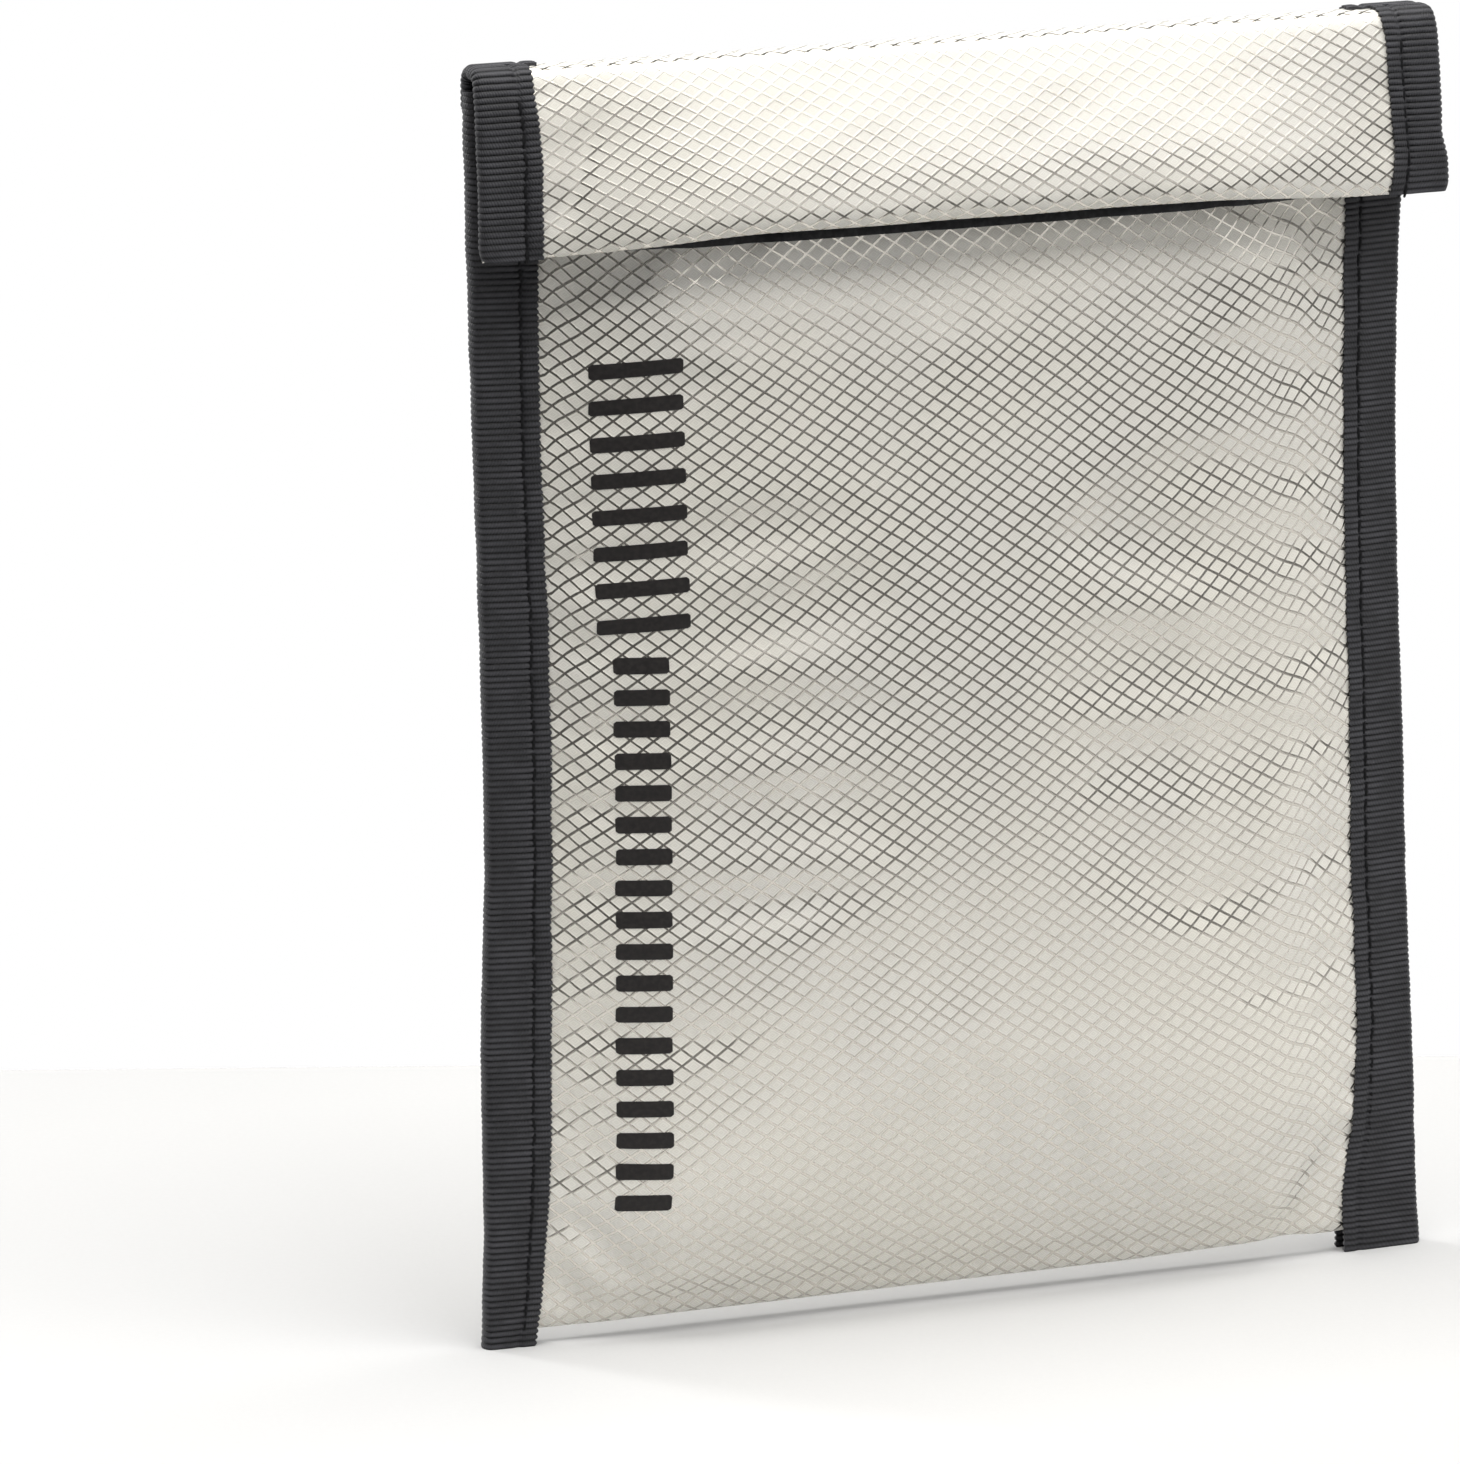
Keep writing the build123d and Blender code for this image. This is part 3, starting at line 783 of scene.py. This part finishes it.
def tape_x(side, v, x_in, x_out, seed):
    """X across each row of a tape's flat part, from its inner edge, which the ribs notch, to its fold."""
    saw = 0.3 * (np.abs(np.sin(math.pi * v / RIB)) - 0.5) + 0.28 * waves(v, 0 * v, seed + 1, 16)
    inner = (x_in - side * saw)[:, None]
    outer = (x_out + side * 0.14 * waves(v, 0 * v, seed + 2, 12))[:, None]
    return inner + LEG[None] / LEG[-1] * (outer - side * TURN_X - inner)


def leg_u(side):
    """The cloth's u under each point across a tape's flat part."""
    return side * (BIND_X + LEG / LEG[-1] * (HALF - BIND_X) * 0.93)


def tape(name, side, v, front, front_out, back, back_out, seed, plain=0.0):
    """A tape folded over a side edge, from the cloth's two faces under it and their outward normals.

    v is the distance along it; the last part, plain long, has no ribs.
    """
    ribs = (rib_height(v, seed) * step(v[-1] - plain, v[-1] - plain - 0.5, v))[:, None]
    run = np.abs(front[..., 0] - front[:, :1, 0])
    groove = 0.34 * np.exp(-(((run - STITCH_IN) / 0.5) ** 2)) + 0.12 * np.exp(-run / 0.5)
    lift = (TAPE + ribs - groove)[..., None]
    middle = (front[:, -1:] + back[:, -1:]) / 2
    gap = front[:, -1:] - back[:, -1:]
    half = np.linalg.norm(gap, axis=-1, keepdims=True) / 2
    out = gap / (2 * half)
    aside = np.array([float(side), 0, 0])
    cos, sin = np.cos(ARC)[None, :, None], np.sin(ARC)[None, :, None]
    more = TAPE + ribs[..., None]
    turn = middle + out * (half + more) * cos + aside * (TURN_X - TAPE + more) * sin
    under_turn = middle + out * half * cos + aside * (TURN_X - TAPE) * sin
    surface = np.concatenate([front + front_out * lift, turn, (back + back_out * lift)[:, ::-1]], 1)
    under = np.concatenate([front, under_turn, back[:, ::-1]], 1)
    path = np.concatenate([LEG, LEG[-1] + ARC * 1.9, LEG[-1] * 2 + 6 - LEG[::-1]])
    uv = np.stack(np.broadcast_arrays(path[None], v[:, None]), -1)
    if side < 0:
        surface, under, uv = surface[:, ::-1], under[:, ::-1], uv[:, ::-1]
    return make_piece(name, *shell(surface, under, uv), GROSGRAIN, "binding_tape")


def on_leg(points, outs, distance):
    """The line on a tape at a distance from its inner edge, and the normals there."""
    k = int(np.argmin(np.abs(LEG - distance)))
    return points[:, k] + outs[:, k] * (TAPE - 0.2), outs[:, k]


def capsules(paths):
    """Points, faces and uv of stitches: each path gives places, directions and outward normals."""
    rings = [(-1.0, 0.35), (-0.86, 0.8), (-0.4, 1.0), (0.4, 1.0), (0.86, 0.8), (1.0, 0.35)]
    around = np.linspace(0, 2 * math.pi, 8, endpoint=False)
    parts = []
    for places, directions, outs, length, radius in paths:
        sides = np.cross(outs, directions)
        grid = []
        for along, size in rings:
            for turn in around:
                shift = directions * along * length / 2
                shift = shift + size * radius * (sides * math.cos(turn) * 1.15 + outs * math.sin(turn))
                grid.append(places + shift - outs * 0.22 * abs(along) ** 2 * radius * 2)
        grid = np.stack(grid, 1)
        face = quads(len(rings), len(around), closed=True)
        last = len(around) * (len(rings) - 1)
        ends = [list(range(len(around)))[::-1], [last + k for k in range(len(around))]]
        for k, points in enumerate(grid):
            along = np.repeat([r[0] for r in rings], len(around)) * length / 2
            uv = np.stack([np.tile(around, len(rings)), along + k * 3], -1)
            parts.append((points, face.tolist(), ends, uv))
    points, faces, uvs, start = [], [], [], 0
    for part_points, face, ends, uv in parts:
        points.append(part_points)
        uvs.append(uv)
        faces += [[i + start for i in f] for f in face + ends]
        start += len(part_points)
    return np.concatenate(points), faces, np.concatenate(uvs)


def stitch_row(line, outs, length=2.5, radius=0.26, pitch=STITCH, seed=1):
    """Stitches along a line of points with outward normals."""
    run = np.concatenate([[0], np.cumsum(np.linalg.norm(np.diff(line, axis=0), axis=1))])
    spots = np.arange(pitch / 2, run[-1], pitch)
    rng = np.random.default_rng(seed)
    spots = spots + rng.uniform(-0.12, 0.12, len(spots))

    def pick(values, where):
        return np.stack([np.interp(where, run, values[:, k]) for k in range(3)], -1)

    places, out = pick(line, spots), pick(outs, spots)
    direction = pick(line, spots + 0.8) - pick(line, spots - 0.8)
    direction /= np.linalg.norm(direction, axis=1, keepdims=True)
    out = out - direction * (out * direction).sum(1, keepdims=True)
    out /= np.linalg.norm(out, axis=1, keepdims=True)
    turn = rng.uniform(-0.06, 0.06, len(spots))[:, None]
    direction = direction * np.cos(turn) + np.cross(out, direction) * np.sin(turn)
    return places, direction, out, length, radius


def thread(name, rows):
    return make_piece(name, *capsules(rows), THREAD, "thread", sharp=False)


def name_of(side):
    return "right" if side > 0 else "left"


def edges(side, lines, along):
    """X of a tape's inner and outer edges."""
    out, inner = lines[::-1][:2] if side > 0 else lines[:2]
    return inner(along), out(along)


def tape_thread(name, rows, seed, v, low=0.0):
    """Stitches down the two faces of a tape, from the distance low."""
    kept = v > low
    made = [stitch_row(line[kept], out[kept], seed=seed + k) for k, (line, out) in enumerate(rows)]
    return thread(name, made)


def body_tape(side):
    """The tape over both walls, from its cut end at the bottom up past the lip."""
    name, seed = name_of(side), 46 + 5 * side
    z = np.arange(0, TOP_Z - 1, RIB / 6)
    xs = tape_x(side, z, *edges(side, body_lines, z), seed)
    zs = z[:, None] + 0 * xs
    u = leg_u(side)[None] + 0 * xs
    depth = seam_depth(u, zs)
    front = np.stack([xs, BACK_Y - depth, zs], -1)
    back = np.stack([xs, BACK_Y + 0 * xs, zs], -1)
    ahead = np.array([0.0, -1.0, 0.0]) + 0 * front
    piece = tape(f"body_{name}_binding", side, z, front, ahead, back, -ahead, seed)
    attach(piece, "pouch")
    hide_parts(f"{name}_binding")
    rows = [on_leg(front, ahead, STITCH_IN), on_leg(back, -ahead, STITCH_IN)]
    row = tape_thread(f"body_{name}_binding_thread", rows, seed, z, CLOTH_BOTTOM - 1)
    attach(row, "pouch")
    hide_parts(f"{name}_binding_thread")
    return piece


def crease_tape(side):
    """The tape over the back wall alone, from the lip's height up to the middle of the strip on top."""
    name, seed = name_of(side), 66 + 5 * side
    rise = np.arange(LIP_Z, TOP_Z, RIB / 6)
    turn = np.linspace(0, math.pi / 2, 30)
    strip = np.linspace(FOLD_R, MID_TOP_D, 9)[1:]
    depth = np.concatenate([0 * rise, FOLD_R * (1 - np.cos(turn)), strip])
    z = np.concatenate([rise, TOP_Z + FOLD_R * np.sin(turn), TOP_Z + FOLD_R + 0 * strip])
    out_z = np.concatenate([0 * rise, np.sin(turn), 1 + 0 * strip])
    out_y = np.concatenate([1 + 0 * rise, np.cos(turn), 0 * strip])
    v = LIP_Z + np.concatenate([[0], np.cumsum(np.hypot(np.diff(depth), np.diff(z)))])
    xs = tape_x(side, v, *edges(side, body_lines, np.minimum(z, TOP_Z)), seed)
    out = np.stack([0 * xs, out_y[:, None] + 0 * xs, out_z[:, None] + 0 * xs], -1)
    face = np.stack([xs, (BACK_Y - depth)[:, None] + 0 * xs, z[:, None] + 0 * xs], -1)
    piece = tape(f"crease_{name}_binding", side, v, face, out, face - out * WALL, -out, seed)
    blended(piece)
    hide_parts("back_crease_tape", f"top_{name}_binding")
    return piece


def flap_tape(side):
    """The flap's tape, from the middle of the strip on top to its lower edge."""
    name, seed = name_of(side), 86 + 5 * side
    along = np.arange(0, FLAP_LENGTH + 0.6, RIB / 6)
    xs = tape_x(side, along, *edges(side, flap_lines, along), seed)
    corner = 0.6 * np.clip((along - FLAP_LENGTH + 1.6) / 2.2, 0, 1)[:, None] ** 2
    xs = xs - side * corner * LEG[None] / LEG[-1]
    row = np.minimum(np.interp(along, flap_steps, np.arange(len(flap_steps))), len(flap_steps) - 1.001)
    u, row = np.broadcast_arrays(leg_u(side)[None], row[:, None])
    face, out = sample(flap_grid, u, row), sample(flap_out, u, row)
    face[..., 2] -= np.maximum(along - FLAP_LENGTH, 0)[:, None]
    out[..., 0] = 0
    out /= np.linalg.norm(out, axis=-1, keepdims=True)
    face[..., 0] = xs
    under = face - out * WALL
    piece = tape(f"folded_flap_{name}_binding", side, along, face, out, under, -out, seed, plain=1.5)
    blended(piece)
    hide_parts(f"flap_{name}_binding", f"top_{name}_binding", "front_crease_tape")
    rows = [on_leg(face, out, STITCH_IN), on_leg(under, -out, STITCH_IN)]
    stitches = tape_thread(f"folded_flap_{name}_binding_thread", rows, seed, along, 8.4)
    blended(stitches)
    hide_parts(f"flap_{name}_binding_thread")
    return piece


tapes = [make(side) for side in (-1, 1) for make in (body_tape, crease_tape, flap_tape)]


# ---------------------------------------------------------------- mouth tape, loop strip, hook strip
def strip_on_front(name, half, low, high, thickness, material, slot, rough, seed):
    """A flat strip sewn on the front's outer face."""
    across = np.linspace(-half, half, int(half * 4) + 1)
    up = np.linspace(low, high, int((high - low) * 2) + 1)
    u, z = np.meshgrid(across, up)
    points, out = on_front(u, z)
    rng = np.random.default_rng(seed)
    edge = np.minimum(np.minimum(half - np.abs(u), z - low), high - z)
    height = thickness - 0.25 * np.exp(-edge / 0.5) + rough * rng.uniform(-1, 1, u.shape)
    uv = np.stack([z, u], -1)
    return make_piece(name, *shell(points + out * height[..., None], points, uv), material, slot)


def mouth_tape():
    """The tape folded over the front's top edge."""
    low = LIP_Z - 9
    down = np.concatenate([np.linspace(low, LIP_Z, 25), np.full(7, LIP_Z), np.linspace(LIP_Z, low, 25)])
    turn = np.concatenate([np.zeros(25), np.linspace(0, math.pi, 9)[1:-1], np.full(25, math.pi)])
    us = np.arange(-BIND_X - 0.5, BIND_X + 0.51, RIB / 5)
    u, z = np.meshgrid(us, down)
    turn = turn[:, None] + 0 * u
    face, out = on_front(u, z)
    middle = face - out * WALL / 2
    ribs = 0.1 * np.abs(np.sin(math.pi * u / RIB))
    half = WALL / 2 + MOUTH_TAPE + ribs
    up = np.array([0.0, 0.0, 1.0])
    side = np.cos(turn)[..., None]
    rise = np.sin(turn)[..., None]
    outer = middle + half[..., None] * (out * side + up * rise)
    inner = middle + WALL / 2 * (out * side + up * rise)
    uv = np.stack([z + turn * 3, u], -1)
    piece = make_piece("folded_mouth_binding", *shell(outer, inner, uv), GROSGRAIN, "binding_tape")
    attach(piece, "pouch")
    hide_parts("mouth_binding")
    line_u = np.linspace(-BIND_X + 1, BIND_X - 1, 120)
    points, outs = on_front(line_u, low + 1.6)
    inside_u = np.linspace(-52, 52, 90)
    inner_points, inner_outs = on_front(inside_u, low + 1.6)
    rows = [
        stitch_row(points + outs * (MOUTH_TAPE + 0.08), outs, seed=5),
        stitch_row(inner_points - inner_outs * (WALL + MOUTH_TAPE + 0.08), -inner_outs, seed=6),
    ]
    row = thread("folded_mouth_binding_thread", rows)
    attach(row, "pouch")
    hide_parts("mouth_binding_thread")


def edge_rows(half, lows, place, seed):
    """Rows of stitches round a strip, near its long edges."""
    u = np.linspace(-half, half, 120)
    return [stitch_row(*place(u, low), pitch=2.8, length=2.2, seed=seed + k) for k, low in enumerate(lows)]


mouth_tape()
LOOP_HALF, HOOK_HALF = LOOP_HIGH[0], HOOK_HIGH[0]
LOOP_ROUGH = 0.07  # how uneven the pile is, in mm
loop_size = LOOP_HALF, LOOP_LOW[2], LOOP_HIGH[2], FASTENER
loop = strip_on_front("loop_pile_strip", *loop_size, LOOP, "loop", LOOP_ROUGH, 11)
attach(loop, "pouch")
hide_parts("loop_strip")


def on_loop(u, z):
    points, out = on_front(u, z)
    return points + out * (FASTENER + 0.05), out


loop_rows = edge_rows(LOOP_HALF - 1.6, (LOOP_LOW[2] + 1.6, LOOP_HIGH[2] - 1.6), on_loop, 13)
loop_thread = thread("loop_pile_strip_thread", loop_rows)
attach(loop_thread, "pouch")
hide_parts("loop_strip_thread")

HOOK_END = FLAP_LENGTH - 3.8
HOOK_WIDTH = 16.0


def on_flap_inside(u, along):
    """Points and normals of the flap's inner face."""
    row = np.interp(along, flap_steps, np.arange(len(flap_steps)))
    u, row = np.broadcast_arrays(u, row)
    out = sample(flap_out, u, row)
    out = out / np.linalg.norm(out, axis=-1, keepdims=True)
    return sample(flap_grid, u, row) - out * WALL, -out


def hook_tape():
    """The hook strip inside the flap, with its hooks."""
    low = HOOK_END - HOOK_WIDTH
    u, along = np.meshgrid(np.linspace(-HOOK_HALF, HOOK_HALF, 223), np.linspace(low, HOOK_END, 25))
    points, out = on_flap_inside(u, along)
    base = 0.45
    grid = points + out * base
    uv = np.stack([along, u], -1)
    parts = [shell(grid, points, uv)]
    across, down = np.arange(-HOOK_HALF + 1, HOOK_HALF - 0.9, 1.5), np.arange(low + 2.6, HOOK_END - 2.5, 1.5)
    hook_u, hook_a = np.meshgrid(across, down)
    spots, up = on_flap_inside(hook_u.ravel(), hook_a.ravel())
    spots = spots + up * base
    ahead, _ = on_flap_inside(hook_u.ravel(), hook_a.ravel() + 0.5)
    lean = ahead - (spots - up * base)
    lean /= np.linalg.norm(lean, axis=1, keepdims=True)
    side = np.cross(up, lean)
    shape = [(0, 0, 0.2), (0.02, 0.3, 0.13), (0.12, 0.47, 0.12), (0.28, 0.5, 0.1), (0.38, 0.4, 0.07)]
    corners = [(1, 1), (-1, 1), (-1, -1), (1, -1)]
    rings = []
    for forward, height, size in shape:
        centre = spots + lean * forward + up * height
        rings += [centre + side * size * a + lean * size * 0.8 * b for a, b in corners]
    hooks = np.stack(rings, 1)
    face = quads(len(shape), 4, closed=True)
    count = len(hooks)
    faces = (face[None] + (np.arange(count) * len(rings))[:, None, None]).reshape(-1, 4)
    caps = np.array([[16, 17, 18, 19]]) + (np.arange(count) * len(rings))[:, None]
    hook_uv = np.repeat(np.stack([hook_a.ravel(), hook_u.ravel()], -1), len(rings), 0)
    parts.append((hooks.reshape(-1, 3), np.concatenate([faces, caps]), hook_uv))
    piece = make_piece("hook_tape_strip", *joined(parts), HOOK, "hook")
    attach(piece, "flap")
    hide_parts("hook_strip")

    def on_hook(u, along):
        spot, face_out = on_flap_inside(u, along)
        return spot + face_out * (base + 0.05), face_out

    rows = edge_rows(HOOK_HALF - 1.6, (low + 1.2, HOOK_END - 1.2), on_hook, 15)
    row = thread("hook_tape_strip_thread", rows)
    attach(row, "flap")
    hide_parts("hook_strip_thread")


hook_tape()

# ---------------------------------------------------------------- plain printed bars
INK_LIFT = 0.07
INK_CORNER = 0.5
PRINT_GAP = 2.8
RUN_BARS, TAG_BARS = 18, 8  # the long run of bars, and the short one above it
RUN_X = -67.0, -57.5
RUN_LENGTH, TAG_START = 100, 104  # both from the print's lower end
TAG_LEAN = 0.5


def block(left, right, low, high, lean):
    """A bar with rounded corners on the front's outer face; it slants by lean at each end."""
    a, b = np.meshgrid(np.linspace(-1, 1, 25), np.linspace(-1, 1, 9))
    half_w, half_h = (right - left) / 2, (high - low) / 2
    pinch = np.clip((np.abs(b) * half_h - (half_h - INK_CORNER)) / INK_CORNER, 0, 1)
    width = half_w - INK_CORNER * (1 - np.sqrt(np.clip(1 - pinch**2, 0, 1)))
    u = (left + right) / 2 + a * width
    z = (low + high) / 2 + b * half_h + lean * a
    points, out = on_front(u, z)
    return shell(points + out * INK_LIFT, points + out * 0.01, np.stack([u, z], -1))


def printed():
    """Bars in two runs, up the left of the front."""
    low, high = cad("front_print")
    runs = [
        (*RUN_X, low[2], low[2] + RUN_LENGTH, RUN_BARS, 0.0),
        (low[0], high[0], low[2] + TAG_START, high[2], TAG_BARS, TAG_LEAN),
    ]
    parts = []
    for left, right, bottom, top, count, lean in runs:
        pitch = (top - bottom + PRINT_GAP) / count
        for k in range(count):
            low_edge = bottom + k * pitch
            parts.append(block(left, right, low_edge + lean, low_edge + pitch - PRINT_GAP - lean, lean))
    piece = make_piece("printed_bars", *joined(parts), INK, "print")
    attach(piece, "pouch")
    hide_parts("front_print")


printed()


# ---------------------------------------------------------------- floor, light and camera
def plane(name, size, place, turn=(0, 0, 0)):
    """A rectangle that isn't part of the object."""
    w, h = size[0] / 2, size[1] / 2
    mesh = bpy.data.meshes.new(name)
    mesh.from_pydata([(-w, -h, 0), (w, -h, 0), (w, h, 0), (-w, h, 0)], [], [(0, 1, 2, 3)])
    obj = bpy.data.objects.new(name, mesh)
    bpy.context.collection.objects.link(obj)
    obj.location = place
    obj.rotation_euler = turn
    return obj


AZIMUTH, ELEVATION, ROLL = (math.radians(a) for a in (-20.51, 12.98, -0.55))
FLOOR_FROM, FLOOR_TO = -0.25, 0.17  # along the way the camera looks, so the paper ends in a level line
middle = (FLOOR_FROM + FLOOR_TO) / 2
floor_place = (-math.sin(AZIMUTH) * middle, math.cos(AZIMUTH) * middle, 0)
floor = plane("floor", (2.4, FLOOR_TO - FLOOR_FROM), floor_place, (0, 0, AZIMUTH))
paper = Shade("floor_paper", Base_Color=(0.61, 0.61, 0.61, 1), Specular_IOR_Level=0.2)
fibres = paper.noise(paper.place(), 900.0, 4.0)
paper.set(Roughness=paper.between(fibres, 0.3, 0.7, 0.65, 0.8), Normal=paper.bump(fibres, 0.00002))
floor.data.materials.append(paper.material)


def softbox(name, place, aim, size, power, tint=(1, 1, 1)):
    """A rectangular light aimed at a point."""
    light = bpy.data.lights.new(name, "AREA")
    light.shape = "RECTANGLE"
    light.size, light.size_y = size
    light.energy = power
    light.color = tint
    obj = bpy.data.objects.new(name, light)
    obj.location = place
    obj.rotation_euler = (Vector(aim) - Vector(place)).to_track_quat("-Z", "Y").to_euler()
    bpy.context.collection.objects.link(obj)
    return obj


softbox("overhead", (0.05, -0.18, 1.2), (0.05, -0.1, 0), (1.6, 1.0), 27, (1, 0.99, 0.97))
softbox("front_top", (0.38, -0.95, 1.0), (0, 0, 0.17), (1.3, 0.42), 3.4)
softbox("low_fill", (0.25, -1.3, 0.35), (0, 0, 0.05), (0.9, 0.4), 1.2)
softbox("right_key", (1.0, -0.75, 0.6), (0, 0, 0.12), (0.8, 0.6), 1.6)
softbox("back_left", (-0.8, 1.0, 0.7), (0, 0, 0.1), (0.25, 0.25), 7)


def studio():
    """A white surround for the camera; for the light, a dim room with a white backdrop behind the pouch."""
    world = bpy.data.worlds.new("studio")
    bpy.context.scene.world = world
    world.use_nodes = True
    tree = world.node_tree

    def node(kind, *inputs, **settings):
        return add_node(tree, kind, *inputs, **settings).outputs[0]

    way = add_node(tree, "SeparateXYZ", node("TexCoord"))
    behind = node("MapRange", way.outputs[1], 0.0, 0.3, 0.0, 1.0)
    low = node("MapRange", way.outputs[2], 0.3, 0.5, 1.0, 0.0)
    backdrop = node("Math", behind, low, operation="MULTIPLY")
    strength = node("Math", backdrop, 0.9, 0.06, operation="MULTIPLY_ADD")
    room = node("Background", (1, 1, 1, 1), strength)
    white = node("Background", (1, 1, 1, 1), 1.0)
    seen = add_node(tree, "LightPath").outputs["Is Camera Ray"]
    tree.links.new(node("MixShader", seen, room, white), tree.nodes["World Output"].inputs[0])


studio()

TARGET = Vector((0, (BACK_Y - 1.385) * MM, 0.115))
DISTANCE, ASIDE, ABOVE = 1.735, -0.0399, -0.0104


def camera():
    """The view the object is shown from."""
    level = math.cos(ELEVATION)
    back = Vector((math.sin(AZIMUTH) * level, -math.cos(AZIMUTH) * level, math.sin(ELEVATION)))
    right = Vector((math.cos(AZIMUTH), math.sin(AZIMUTH), 0))
    up = back.cross(right)
    made = bpy.data.cameras.new("camera")
    made.lens = 240.0
    made.sensor_width = 36.0
    made.clip_start, made.clip_end = 0.01, 20
    obj = bpy.data.objects.new("camera", made)
    bpy.context.collection.objects.link(obj)
    rolled_right = right * math.cos(ROLL) + up * math.sin(ROLL)
    rolled_up = up * math.cos(ROLL) - right * math.sin(ROLL)
    turn = Matrix((rolled_right, rolled_up, back)).transposed().to_4x4()
    obj.matrix_world = Matrix.Translation(TARGET + back * DISTANCE + right * ASIDE + up * ABOVE) @ turn
    bpy.context.scene.camera = obj


camera()
bpy.context.scene.view_settings.view_transform = "Standard"
